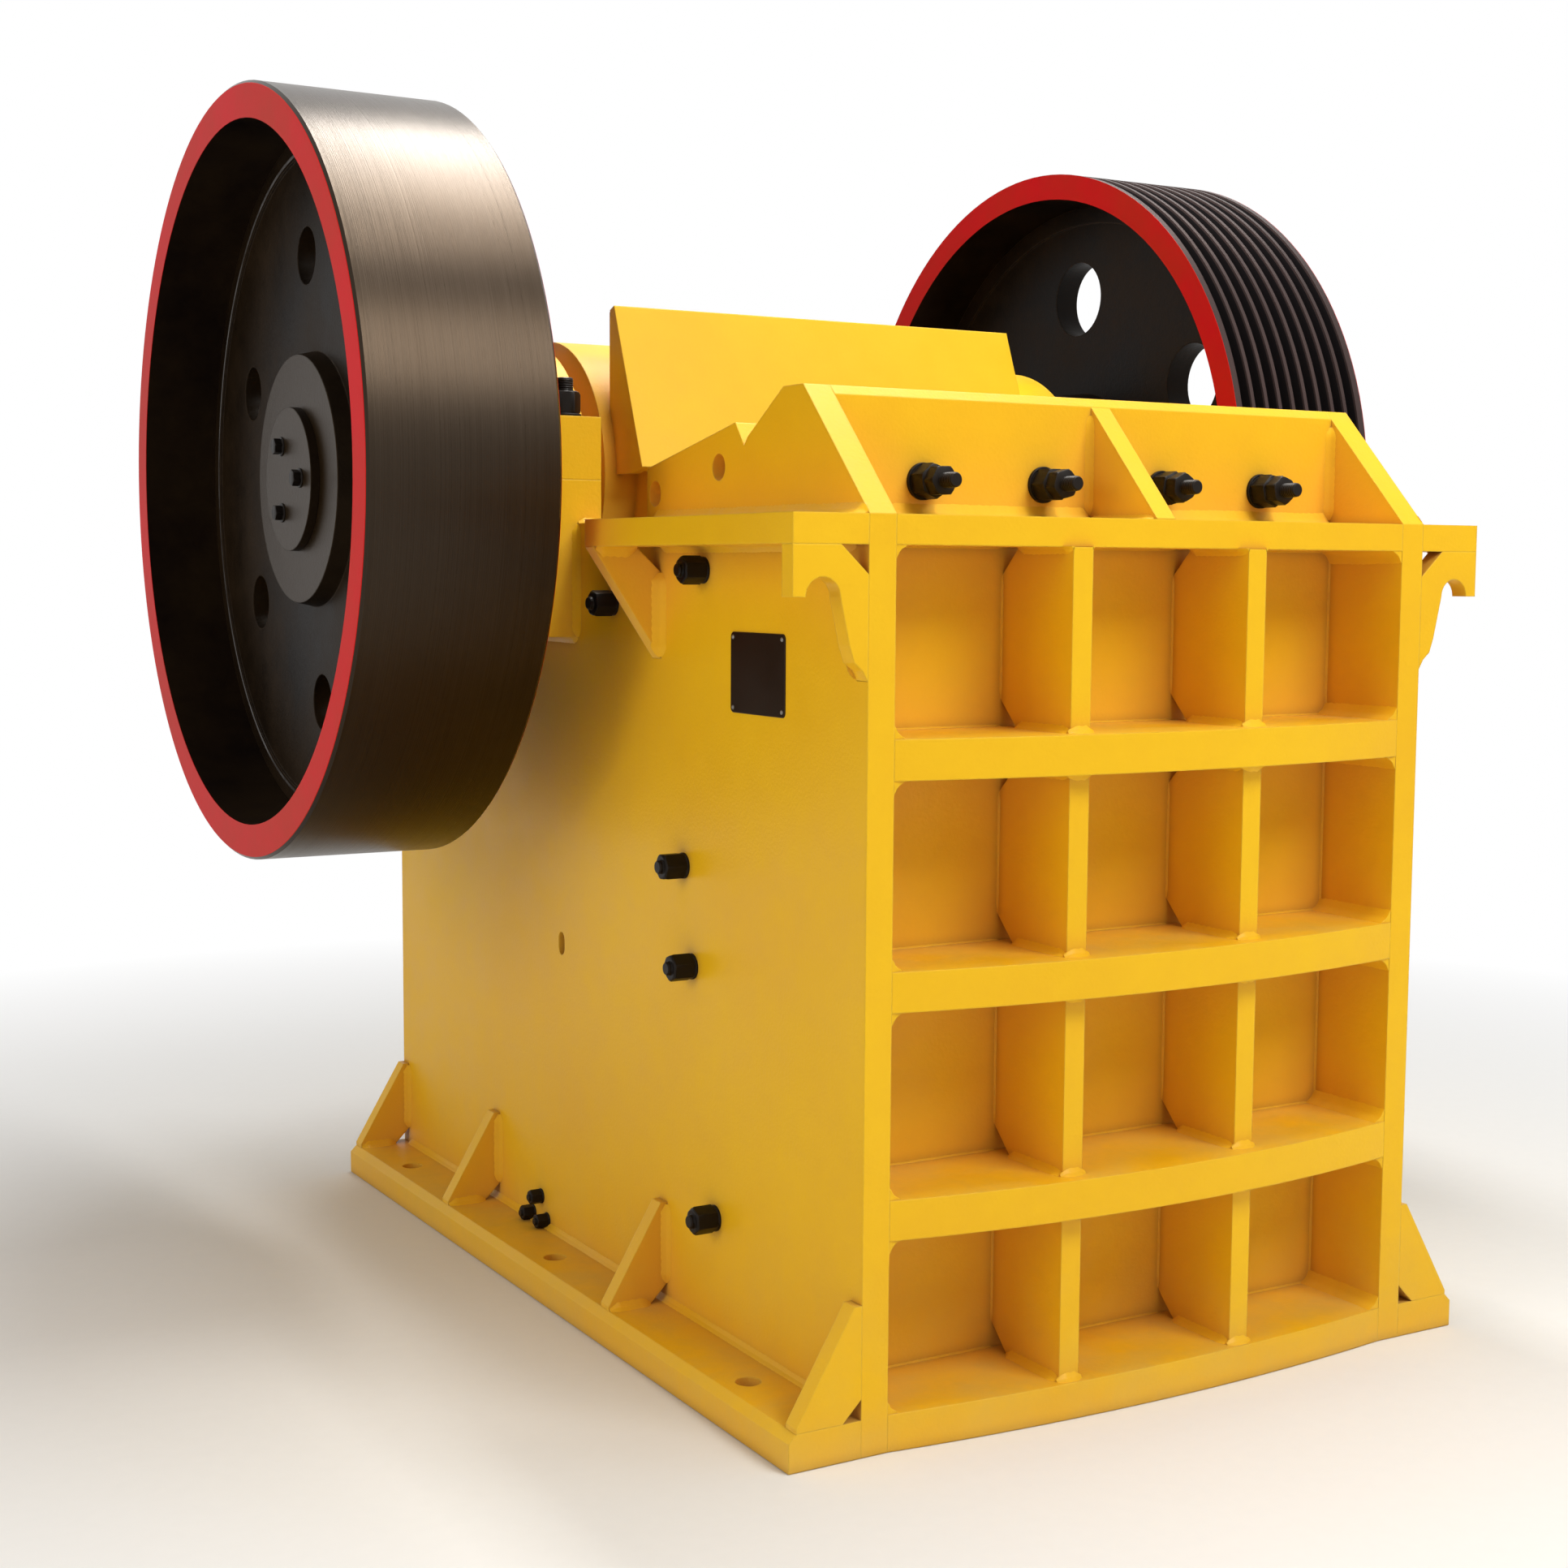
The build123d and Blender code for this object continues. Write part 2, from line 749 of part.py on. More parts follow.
def jaw_guard():
    """Leaning plate over the jaw head, on two side gussets shaped to the head."""
    rise = guard_top_height - guard_foot_height
    run = guard_top_depth - guard_foot_depth
    slant = sqrt(rise * rise + run * run)
    back_depth = guard_thickness * rise / slant
    back_height = guard_thickness * run / slant
    plate_face = side_face([
        (guard_foot_depth, guard_foot_height),
        (guard_top_depth, guard_top_height),
        (guard_top_depth + back_depth, guard_top_height - back_height),
        (guard_foot_depth + back_depth, guard_foot_height - back_height),
    ])
    guard = across(plate_face, -guard_half_width, guard_half_width)
    gusset_face = side_face([
        (guard_foot_depth + back_depth / 2, guard_foot_height - back_height / 2),
        (guard_top_depth + back_depth / 2, guard_top_height - back_height / 2),
        (guard_gusset_rear, guard_top_height - guard_top_flat),
        (guard_gusset_rear, shaft_height + throw),
        (guard_foot_depth + guard_gusset_foot, shaft_height + throw),
    ])
    for x in (-guard_half_width, guard_half_width - guard_gusset_thickness):
        guard += across(gusset_face, x, x + guard_gusset_thickness)
    head = shaft_bar(
        jaw_head_radius + fit_gap, -jaw_head_half - overrun, jaw_head_half + overrun,
        shaft_y, shaft_height + throw)
    return guard - head


# Cheek plates line the side walls beside the jaws, in an upper and a lower plate
def cheek_edge(height):
    """Depth of the rear edge of the cheek plates at a height."""
    return discharge_depth + (height - discharge_height) * tan(lean) + cheek_overlap


def cheek_plate(bottom, top):
    """Plate between two heights that ends along the jaw and clear of the bearing seat."""
    plate = slab(
        cheek_face, wall_inner, front_plate_back, seat_front - cheek_seat_gap, bottom, top)
    low = bottom - overrun
    high = top + overrun
    beside_jaw = side_face([
        (front_plate_back - overrun, low),
        (front_plate_back - overrun, high),
        (cheek_edge(high), high),
        (cheek_edge(low), low),
    ])
    return plate & across(beside_jaw, cheek_face - overrun, wall_inner + overrun)


def cheek_plates():
    return many([
        cheek_plate(cheek_bottom_height, cheek_split_height),
        cheek_plate(cheek_split_height + cheek_split_gap, cheek_top_height),
    ])


def fixed_jaw_wedge():
    face = side_face([
        (clamp_wall_back, frame_height),
        (clamp_wall_back, frame_height + wedge_height),
        (clamp_wall_back + wedge_top_width, frame_height + wedge_height),
        (clamp_wall_back + wedge_overhang, frame_height + wedge_height / 2),
        (clamp_wall_back + wedge_overhang, frame_height),
    ])
    return across(face, -(cheek_face - jaw_side_gap), cheek_face - jaw_side_gap)


# Rear wall with its ribs, and rods through it
def rod_hole(depth0, depth1, x):
    middle = Pos(x, at_depth((depth0 + depth1) / 2), rod_height)
    return middle * Rot(90, 0, 0) * Cylinder(rod_radius + fit_gap, depth1 - depth0)


def rear_plate():
    back = rear_plate_depth + rear_plate_thickness
    plate = slab(-wall_inner, wall_inner, rear_plate_depth, back, 0, rear_plate_height)
    for x in (-rod_x, rod_x):
        plate -= rod_hole(rear_plate_depth - overrun, back + overrun, x)
    return plate


def rear_ribs():
    start = rear_plate_depth + rear_plate_thickness
    half = rear_rib_thickness / 2
    return many(
        slab(-wall_inner, wall_inner, start, frame_length - rear_rib_inset,
             height - half, height + half)
        for height in rear_rib_heights)


def rear_stiffeners():
    """Upright plates between the rear ribs, on the lines of the front stiffeners."""
    start = rear_plate_depth + rear_plate_thickness
    half = rear_rib_thickness / 2
    bottoms = [height + half for height in rear_rib_heights[:-1]]
    tops = [height - half for height in rear_rib_heights[1:]]
    thick = stiffener_thickness / 2
    return many(
        slab(x - thick, x + thick, start, frame_length - rear_stiffener_inset, bottom, top)
        for bottom, top in zip(bottoms, tops) for x in (-stiffener_x, stiffener_x))


# Toggle, its adjustable seat, and the sprung rods that hold the jaw back on it
def toggle_plate():
    front_depth, front_height = pocket_centre()
    front_y_place = at_depth(front_depth)
    rear_y_place = at_depth(toggle_seat_depth)
    rise = toggle_seat_height - front_height
    run = toggle_seat_depth - front_depth
    slant = sqrt(rise * rise + run * run)
    off_y = toggle_plate_thickness / 2 * rise / slant
    off_z = toggle_plate_thickness / 2 * run / slant
    face = make_face(Polyline(
        (front_y_place + off_y, front_height - off_z),
        (rear_y_place + off_y, toggle_seat_height - off_z),
        (rear_y_place - off_y, toggle_seat_height + off_z),
        (front_y_place - off_y, front_height + off_z),
        close=True))
    plate = across(face, -toggle_half_width, toggle_half_width)
    for y, z in ((front_y_place, front_height), (rear_y_place, toggle_seat_height)):
        plate += shaft_bar(toggle_end_radius, -toggle_half_width, toggle_half_width, y, z)
    return plate


def toggle_seat():
    back = rear_plate_depth - shim_thickness
    block = slab(
        -toggle_seat_half, toggle_seat_half, toggle_seat_depth, back,
        toggle_seat_height - toggle_seat_half_height,
        toggle_seat_height + toggle_seat_half_height)
    shims = slab(
        -toggle_seat_half, toggle_seat_half, back, rear_plate_depth,
        toggle_seat_height - toggle_seat_half_height + shim_inset,
        toggle_seat_height + toggle_seat_half_height - shim_inset)
    socket = shaft_bar(
        toggle_end_radius + fit_gap, -toggle_seat_half - overrun, toggle_seat_half + overrun,
        at_depth(toggle_seat_depth), toggle_seat_height)
    return block + shims - socket


def along_rod(radius, depth0, depth1, x):
    middle = Pos(x, at_depth((depth0 + depth1) / 2), rod_height)
    return middle * Rot(90, 0, 0) * Cylinder(radius, depth1 - depth0)


def rod_start():
    foot_depth = jaw_place(-jaw_slab_foot, jaw_plate_thickness + jaw_slab_thickness)[0]
    return foot_depth + throw + rod_front_gap


def tension_rods():
    return many(
        along_rod(rod_radius, rod_start(), frame_length - rod_end_gap, x)
        for x in (-rod_x, rod_x))


def tension_springs():
    start = rear_plate_depth + rear_plate_thickness
    end = frame_length - rod_end_gap - 2 * spring_plate_thickness
    springs = []
    for x in (-rod_x, rod_x):
        sleeve = along_rod(spring_outer_radius, start, end, x)
        springs.append(sleeve - along_rod(rod_radius + fit_gap, start - overrun, end + overrun, x))
    return many(springs)


front_plate = slab(
    -wall_inner, wall_inner, front_cell_depth, front_plate_back, 0, top_flange_underside)
top_flange_front = slab(
    -wall_inner, wall_inner, 0, front_plate_back, top_flange_underside, frame_height)
top_flange_right = slab(
    wall_outer, wall_outer + top_flange_width, 0, top_flange_length,
    top_flange_underside, frame_height)
base_rear_bar = slab(
    -wall_inner, wall_inner, rear_plate_depth + rear_plate_thickness, frame_length,
    0, base_thickness)
base_front_bar = bowed_bar(wall_inner, base_rib_bow, front_cell_depth, 0, base_thickness)
right_wall = side_wall()
right_flange = base_flange()
right_gussets = base_gussets()
right_ear = lifting_ear()
right_flange_gusset = flange_gusset()
right_seat = bearing_seat()
right_cap = bearing_cap()
right_cover = bearing_cover()
right_cheeks = cheek_plates()

nodes = {
    "side_wall_left": mirrored(right_wall),
    "side_wall_right": right_wall,
    "front_plate": front_plate,
    "front_rib_upper": front_rib(0),
    "front_rib_middle": front_rib(1),
    "front_rib_lower": front_rib(2),
    "front_stiffeners_left": stiffener_column(-stiffener_x),
    "front_stiffeners_right": stiffener_column(stiffener_x),
    "base_front_bar": base_front_bar,
    "base_rear_bar": base_rear_bar,
    "base_flange_left": mirrored(right_flange),
    "base_flange_right": right_flange,
    "base_gussets_left": mirrored(right_gussets),
    "base_gussets_right": right_gussets,
    "top_flange_front": top_flange_front,
    "top_flange_left": mirrored(top_flange_right),
    "top_flange_right": top_flange_right,
    "lifting_ears": many([mirrored(right_ear), right_ear]),
    "flange_gussets": many([mirrored(right_flange_gusset), right_flange_gusset]),
    "clamp_wall": clamp_wall(),
    "bearing_seat_left": mirrored(right_seat),
    "bearing_seat_right": right_seat,
    "bearing_cap_left": mirrored(right_cap),
    "bearing_cap_right": right_cap,
    "bearing_covers": many([mirrored(right_cover), right_cover]),
    "cheek_plates_left": mirrored(right_cheeks),
    "cheek_plates_right": right_cheeks,
    "fixed_jaw_plate": fixed_jaw_plate(),
    "fixed_jaw_wedge": fixed_jaw_wedge(),
    "rear_plate": rear_plate(),
    "rear_ribs": rear_ribs(),
    "rear_stiffeners": rear_stiffeners(),
    "toggle_seat": toggle_seat(),
    "toggle_plate": toggle_plate(),
    "tension_rods": tension_rods(),
    "tension_springs": tension_springs(),
    "eccentric_shaft": eccentric_shaft(),
    "flywheel_rim": flywheel_rim(),
    "flywheel_web": flywheel_web(),
    "sheave_rim": sheave_rim(),
    "sheave_web": sheave_web(),
    "shaft_end_caps": many([
        end_cap(left_shaft_end - end_cap_thickness, left_shaft_end),
        end_cap(right_shaft_end, right_shaft_end + end_cap_thickness)]),
    "swing_jaw_body": swing_jaw_body(),
    "moving_jaw_plate": moving_jaw_plate(),
    "jaw_guard": jaw_guard(),
}

for name, shape in nodes.items():
    export_step(shape, f"parts/{name}.step")
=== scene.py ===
import logging
import math
import random
from dataclasses import dataclass, field
from enum import Enum
from typing import Iterable, Sequence

import bmesh
import bpy
from mathutils import Matrix, Vector


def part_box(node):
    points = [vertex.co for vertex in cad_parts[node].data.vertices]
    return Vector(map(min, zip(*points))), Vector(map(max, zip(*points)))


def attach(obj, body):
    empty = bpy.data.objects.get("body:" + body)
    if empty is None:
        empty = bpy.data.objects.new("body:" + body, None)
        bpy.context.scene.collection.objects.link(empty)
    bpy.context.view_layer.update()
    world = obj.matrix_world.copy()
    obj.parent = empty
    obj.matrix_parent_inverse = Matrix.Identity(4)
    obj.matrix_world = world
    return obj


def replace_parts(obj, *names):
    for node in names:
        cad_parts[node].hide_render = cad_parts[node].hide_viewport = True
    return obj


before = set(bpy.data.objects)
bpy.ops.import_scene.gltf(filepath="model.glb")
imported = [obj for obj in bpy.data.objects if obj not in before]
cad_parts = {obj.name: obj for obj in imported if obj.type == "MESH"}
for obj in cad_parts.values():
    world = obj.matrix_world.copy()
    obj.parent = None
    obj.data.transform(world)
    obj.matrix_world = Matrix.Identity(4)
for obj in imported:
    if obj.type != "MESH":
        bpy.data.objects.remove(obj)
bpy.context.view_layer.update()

log = logging.getLogger("jaw_crusher")

MM = 0.001
FRONT_DEPTH = 1020.0
SHAFT_DEPTH = 1400.0
SHAFT_HEIGHT = 1584.0
WALL_OUTER = 588.0
WALL_INNER = 538.0
HEXAGON_POINTS = 48
HEXAGON_CHAMFER = 0.14
HEXAGON_ROUNDS = (1.02, 1.06, 0.9)
HEXAGON_STEPS = (0.6, 0.35)
THREAD_POINTS = 24
THREAD_ROOT = 0.92
THREAD_TIP = (0.95, 0.8)
THREAD_ROOM = 0.6
FLANGE_TOP = 1500.0
SHAFT_Y = (SHAFT_DEPTH - FRONT_DEPTH) * MM
SHAFT_Z = SHAFT_HEIGHT * MM

Ring = list[Vector]
Colour = tuple[float, float, float, float]
Pair = tuple[float, float]
Triple = tuple[float, float, float]
Socket = bpy.types.NodeSocket


class Side(Enum):
    """Side of the machine, as the sign of X."""

    LEFT = -1
    RIGHT = 1

    @property
    def word(self) -> str:
        """Lower case name used in piece names."""
        return self.name.lower()

    @property
    def out(self) -> str:
        """Signed letter of the direction away from the machine's middle."""
        return "+x" if self.value > 0 else "-x"

    @property
    def inward(self) -> str:
        """Signed letter of the direction to the machine's middle."""
        return "-x" if self.value > 0 else "+x"


class Slot(Enum):
    """Material slots of the record that the added pieces belong to."""

    YELLOW_PAINT = "yellow_paint"
    DARK_STEEL = "dark_steel"
    SPRING_STEEL = "spring_steel"


class Body(Enum):
    """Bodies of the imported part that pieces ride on."""

    FRAME = "frame"
    ROTOR = "rotor"
    SWING_JAW = "swing_jaw"


def place(x: float, depth: float, height: float) -> Vector:
    """Point in metres from an X, a depth behind the front plane and a height in mm.

    Args:
        x: Distance from the middle of the machine.
        depth: Distance behind the front plane of the frame.
        height: Height above the floor.

    Returns:
        The same point in the shared frame.
    """
    return Vector((x * MM, (depth - FRONT_DEPTH) * MM, height * MM))


def round_shaft(x: float, radius: float, turn: float) -> Vector:
    """Point in metres on a circle about the shaft line.

    Args:
        x: Distance from the middle of the machine in mm.
        radius: Radius of the circle in mm.
        turn: Angle from the rearward direction in radians.

    Returns:
        The point in the shared frame.
    """
    return place(x, SHAFT_DEPTH + radius * math.cos(turn), SHAFT_HEIGHT + radius * math.sin(turn))


def rgb(red: float, green: float, blue: float) -> Colour:
    """Opaque linear colour."""
    return (red, green, blue, 1.0)


# ---------------------------------------------------------------- shader graphs


class Graph:
    """Short hand for adding and wiring nodes in one shader tree."""

    def __init__(self, tree: bpy.types.NodeTree) -> None:
        """Keeps the tree.

        Args:
            tree: Shader tree or shader node group to fill.
        """
        self.tree = tree

    def feed(self, socket: Socket, value: object) -> None:
        """Links a socket to an output, or sets it to a plain value.

        Args:
            socket: Input to fill.
            value: Output socket, number, tuple, or None to leave it alone.
        """
        if value is None:
            return
        if isinstance(value, Socket):
            self.tree.links.new(value, socket)
        else:
            socket.default_value = value

    def fill(self, node: bpy.types.Node, inputs: dict) -> None:
        """Feeds several inputs of a node.

        Args:
            node: Node that is in the tree.
            inputs: Values or outputs by input name or number.
        """
        for name, value in inputs.items():
            self.feed(node.inputs[name], value)

    def node(self, kind: str, inputs: dict | None = None, **settings: object) -> bpy.types.Node:
        """Adds a node with its settings and inputs.

        Args:
            kind: Blender's node type name.
            inputs: Values or outputs by input name or number.
            **settings: Properties set on the node itself.

        Returns:
            The new node.
        """
        made = self.tree.nodes.new(kind)
        for name, value in settings.items():
            setattr(made, name, value)
        self.fill(made, inputs or {})
        return made

    def math(self, operation: str, a: object, b: object = None, clamp: bool = False) -> Socket:
        """Adds a math node.

        Args:
            operation: Blender's operation name.
            a: First number or output.
            b: Second number or output.
            clamp: Holds the result between 0 and 1.

        Returns:
            The result socket.
        """
        made = self.node("ShaderNodeMath", {0: a, 1: b}, operation=operation, use_clamp=clamp)
        return made.outputs[0]

    def times(self, a: object, b: object, clamp: bool = False) -> Socket:
        """Product of two numbers."""
        return self.math("MULTIPLY", a, b, clamp)

    def more(self, a: object, b: object) -> Socket:
        """Larger of two numbers."""
        return self.math("MAXIMUM", a, b)

    def blend(self, factor: object, a: object, b: object) -> Socket:
        """Mixes two colours by a factor and returns the colour socket."""
        made = self.node("ShaderNodeMix", {0: factor, 6: a, 7: b}, data_type="RGBA")
        return made.outputs[2]

    def blend_value(self, factor: object, a: object, b: object) -> Socket:
        """Mixes two numbers by a factor and returns the number socket."""
        made = self.node("ShaderNodeMix", {0: factor, 2: a, 3: b}, data_type="FLOAT")
        return made.outputs[0]

    def band(self, value: object, low: object, high: float, top: float = 1.0) -> Socket:
        """Maps a range onto 0 to top with held ends.

        Args:
            value: Output to map.
            low: Input that gives 0.
            high: Input that gives top.
            top: Result at high.

        Returns:
            The mapped socket.
        """
        made = self.node(
            "ShaderNodeMapRange", {0: value, 1: low, 2: high, 3: 0.0, 4: top}, clamp=True)
        return made.outputs[0]

    def noise(self, vector: object, scale: object, detail: float, roughness: float) -> Socket:
        """Adds a noise texture.

        Args:
            vector: Place that it is read at.
            scale: Size of the pattern.
            detail: Number of finer layers.
            roughness: Strength of the finer layers.

        Returns:
            The value socket.
        """
        made = self.node(
            "ShaderNodeTexNoise",
            {"Vector": vector, "Scale": scale, "Detail": detail, "Roughness": roughness})
        return made.outputs[0]

    def where(self) -> Socket:
        """Object coordinates, which move with the piece."""
        return self.node("ShaderNodeTexCoord").outputs["Object"]

    def split(self, vector: object) -> tuple[Socket, ...]:
        """The three parts of a vector."""
        return tuple(self.node("ShaderNodeSeparateXYZ", {0: vector}).outputs)

    def length(self, a: object, b: object) -> Socket:
        """Root of the sum of two squares."""
        return self.math("SQRT", self.math("ADD", self.times(a, a), self.times(b, b)))

    def finish_white(self, where: str, shader: Socket, kind: str, fade: object = None) -> None:
        """Shows plain white to the camera and to reflections, and the shader to diffuse light.

        Args:
            where: Type of the tree's output node.
            shader: What lights and is lit.
            kind: Type of the node that gives the white.
            fade: Share of white, or None for all of it.
        """
        path = self.node("ShaderNodeLightPath").outputs
        seen = self.more(path["Is Camera Ray"], path["Is Glossy Ray"])
        seen = self.more(seen, path["Is Transmission Ray"])
        white = self.node(kind, {"Color": rgb(1.0, 1.0, 1.0), "Strength": 1.0})
        share = seen if fade is None else self.times(fade, seen)
        mixed = self.node("ShaderNodeMixShader", {0: share, 1: shader, 2: white.outputs[0]})
        end = next(node for node in self.tree.nodes if node.type == where)
        self.feed(end.inputs["Surface"], mixed.outputs[0])


@dataclass(frozen=True)
class Port:
    """One named socket of a shader node group."""

    name: str
    kind: str = "NodeSocketFloat"
    value: object = None


class Effect:
    """Shader node group that is built once and placed with its own values."""

    name = "effect"
    takes: tuple[Port, ...] = ()
    gives: tuple[Port, ...] = ()
    _built: dict[str, bpy.types.NodeTree] = {}

    def fill(self, graph: Graph, inputs: dict, outputs: dict) -> None:
        """Wires the inside of the group.

        Args:
            graph: Graph of the group's tree.
            inputs: Output sockets of the group's entry, by name.
            outputs: Input sockets of the group's exit, by name.
        """
        raise NotImplementedError

    def tree(self) -> bpy.types.NodeTree:
        """Builds the group on first use.

        Returns:
            The group's tree.
        """
        if self.name not in self._built:
            group = bpy.data.node_groups.new(self.name, "ShaderNodeTree")
            for port in self.takes:
                socket = group.interface.new_socket(
                    port.name, in_out="INPUT", socket_type=port.kind)
                if port.value is not None:
                    socket.default_value = port.value
            for port in self.gives:
                group.interface.new_socket(port.name, in_out="OUTPUT", socket_type=port.kind)
            entry = group.nodes.new("NodeGroupInput")
            end = group.nodes.new("NodeGroupOutput")
            self.fill(
                Graph(group),
                {port.name: entry.outputs[port.name] for port in self.takes},
                {port.name: end.inputs[port.name] for port in self.gives})
            self._built[self.name] = group
        return self._built[self.name]

    def put(self, graph: Graph, **values: object) -> dict[str, Socket]:
        """Places the group in a material.

        Args:
            graph: Graph of the material.
            **values: Numbers, colours or outputs for the group's inputs.

        Returns:
            The group's outputs by name.
        """
        made = graph.node("ShaderNodeGroup", values, node_tree=self.tree())
        return {port.name: made.outputs[port.name] for port in self.gives}


class EdgeWear(Effect):
    """Rounds sharp edges in the shading and finds where they are."""

    name = "edge_wear"
    takes = (Port("radius", value=0.004), Port("breakup", value=0.5))
    gives = (Port("mask"), Port("rounded", "NodeSocketVector"))
    bend: Pair = (0.995, 0.86)
    patch_scale: float = 38.0
    patch_range: Pair = (0.35, 0.65)

    def fill(self, graph: Graph, inputs: dict, outputs: dict) -> None:
        """Compares the rounded normal with the true one, broken up by noise.

        Args:
            graph: Graph of the group's tree.
            inputs: Output sockets of the group's entry, by name.
            outputs: Input sockets of the group's exit, by name.
        """
        bevel = graph.node("ShaderNodeBevel", {"Radius": inputs["radius"]}, samples=4)
        true = graph.node("ShaderNodeNewGeometry").outputs["Normal"]
        along = graph.node(
            "ShaderNodeVectorMath", {0: bevel.outputs[0], 1: true}, operation="DOT_PRODUCT")
        edge = graph.band(along.outputs["Value"], *self.bend)
        patches = graph.noise(graph.where(), self.patch_scale, 5.0, 0.65)
        broken = graph.blend_value(inputs["breakup"], 1.0, graph.band(patches, *self.patch_range))
        graph.feed(outputs["mask"], graph.times(edge, broken))
        graph.feed(outputs["rounded"], bevel.outputs[0])


class PaintMottle(Effect):
    """Broad tone changes and fine orange peel of sprayed enamel."""

    name = "paint_mottle"
    takes = (Port("scale", value=1.6), Port("peel", value=170.0))
    gives = (Port("tone"), Port("gloss"), Port("height"))
    fine_scale: float = 14.0
    broad_share: float = 0.75
    tone_range: Pair = (0.36, 0.64)
    gloss_range: Pair = (0.3, 0.7)

    def fill(self, graph: Graph, inputs: dict, outputs: dict) -> None:
        """Mixes three sizes of noise.

        Args:
            graph: Graph of the group's tree.
            inputs: Output sockets of the group's entry, by name.
            outputs: Input sockets of the group's exit, by name.
        """
        spot = graph.where()
        broad = graph.noise(spot, inputs["scale"], 3.0, 0.5)
        fine = graph.noise(spot, self.fine_scale, 4.0, 0.6)
        both = graph.math(
            "ADD", graph.times(broad, self.broad_share), graph.times(fine, 1 - self.broad_share))
        graph.feed(outputs["tone"], graph.band(both, *self.tone_range))
        graph.feed(outputs["gloss"], graph.band(fine, *self.gloss_range))
        graph.feed(outputs["height"], graph.noise(spot, inputs["peel"], 2.0, 0.5))


class SettledDust(Effect):
    """Pale dust on faces that look up and near the floor."""

    name = "settled_dust"
    takes = (Port("amount", value=0.5), Port("floor_height", value=0.35))
    gives = (Port("mask"),)
    level_range: Pair = (0.6, 0.98)
    low_share: float = 0.55
    cloud_scale: float = 6.5
    cloud_range: Pair = (0.38, 0.72)

    def fill(self, graph: Graph, inputs: dict, outputs: dict) -> None:
        """Joins an upward mask and a low mask, broken by noise.

        Args:
            graph: Graph of the group's tree.
            inputs: Output sockets of the group's entry, by name.
            outputs: Input sockets of the group's exit, by name.
        """
        spot = graph.where()
        up = graph.split(graph.node("ShaderNodeNewGeometry").outputs["Normal"])[2]
        height = graph.split(spot)[2]
        flat = graph.band(up, *self.level_range)
        low = graph.band(height, inputs["floor_height"], 0.0, self.low_share)
        cloud = graph.band(graph.noise(spot, self.cloud_scale, 6.0, 0.62), *self.cloud_range)
        joined = graph.times(graph.more(flat, low), cloud)
        graph.feed(outputs["mask"], graph.times(joined, inputs["amount"], clamp=True))


class CornerShade(Effect):
    """Finds inside corners by occlusion, for painted shade there (the broad use also stands for
    settled dust).
    """

    name = "corner_shade"
    takes = (Port("reach", value=0.06), Port("amount", value=0.5))
    gives = (Port("mask"),)
    open_range: Pair = (0.85, 0.25)

    def fill(self, graph: Graph, inputs: dict, outputs: dict) -> None:
        """Turns occlusion into a mask.

        Args:
            graph: Graph of the group's tree.
            inputs: Output sockets of the group's entry, by name.
            outputs: Input sockets of the group's exit, by name.
        """
        closed = graph.node(
            "ShaderNodeAmbientOcclusion", {"Distance": inputs["reach"]}, samples=6)
        dark = graph.band(closed.outputs["AO"], *self.open_range)
        graph.feed(outputs["mask"], graph.times(dark, inputs["amount"], clamp=True))


class TurnedLines(Effect):
    """Fine rings left by a lathe on a piece turned about the shaft line."""

    name = "turned_lines"
    takes = (Port("pitch", value=900.0),)
    gives = (Port("lines"), Port("radius"), Port("along"))

    def fill(self, graph: Graph, inputs: dict, outputs: dict) -> None:
        """Builds noise that only changes along the shaft and with the radius.

        Args:
            graph: Graph of the group's tree.
            inputs: Output sockets of the group's entry, by name.
            outputs: Input sockets of the group's exit, by name.
        """
        x, y, z = graph.split(graph.where())
        radius = graph.length(
            graph.math("SUBTRACT", y, SHAFT_Y), graph.math("SUBTRACT", z, SHAFT_Z))
        flat = graph.node("ShaderNodeCombineXYZ", {0: x, 1: radius, 2: 0.0}).outputs[0]
        graph.feed(outputs["lines"], graph.noise(flat, inputs["pitch"], 2.0, 0.6))
        graph.feed(outputs["radius"], radius)
        graph.feed(outputs["along"], x)


class CastGrain(Effect):
    """Rough skin and stains of a casting."""

    name = "cast_grain"
    takes = (Port("scale", value=120.0),)
    gives = (Port("stain"), Port("height"))
    lump_scale: float = 22.0
    lump_share: float = 0.4
    stain_scale: float = 3.2
    stain_range: Pair = (0.36, 0.66)

    def fill(self, graph: Graph, inputs: dict, outputs: dict) -> None:
        """Mixes grains of two sizes and a broad stain.

        Args:
            graph: Graph of the group's tree.
            inputs: Output sockets of the group's entry, by name.
            outputs: Input sockets of the group's exit, by name.
        """
        spot = graph.where()
        grain = graph.noise(spot, inputs["scale"], 5.0, 0.7)
        lumps = graph.noise(spot, self.lump_scale, 3.0, 0.5)
        stain = graph.noise(spot, self.stain_scale, 6.0, 0.65)
        graph.feed(outputs["stain"], graph.band(stain, *self.stain_range))
        graph.feed(outputs["height"], graph.blend_value(self.lump_share, grain, lumps))


EDGE_WEAR = EdgeWear()
PAINT_MOTTLE = PaintMottle()
SETTLED_DUST = SettledDust()
CORNER_SHADE = CornerShade()
TURNED_LINES = TurnedLines()
CAST_GRAIN = CastGrain()


# ---------------------------------------------------------------------- finishes


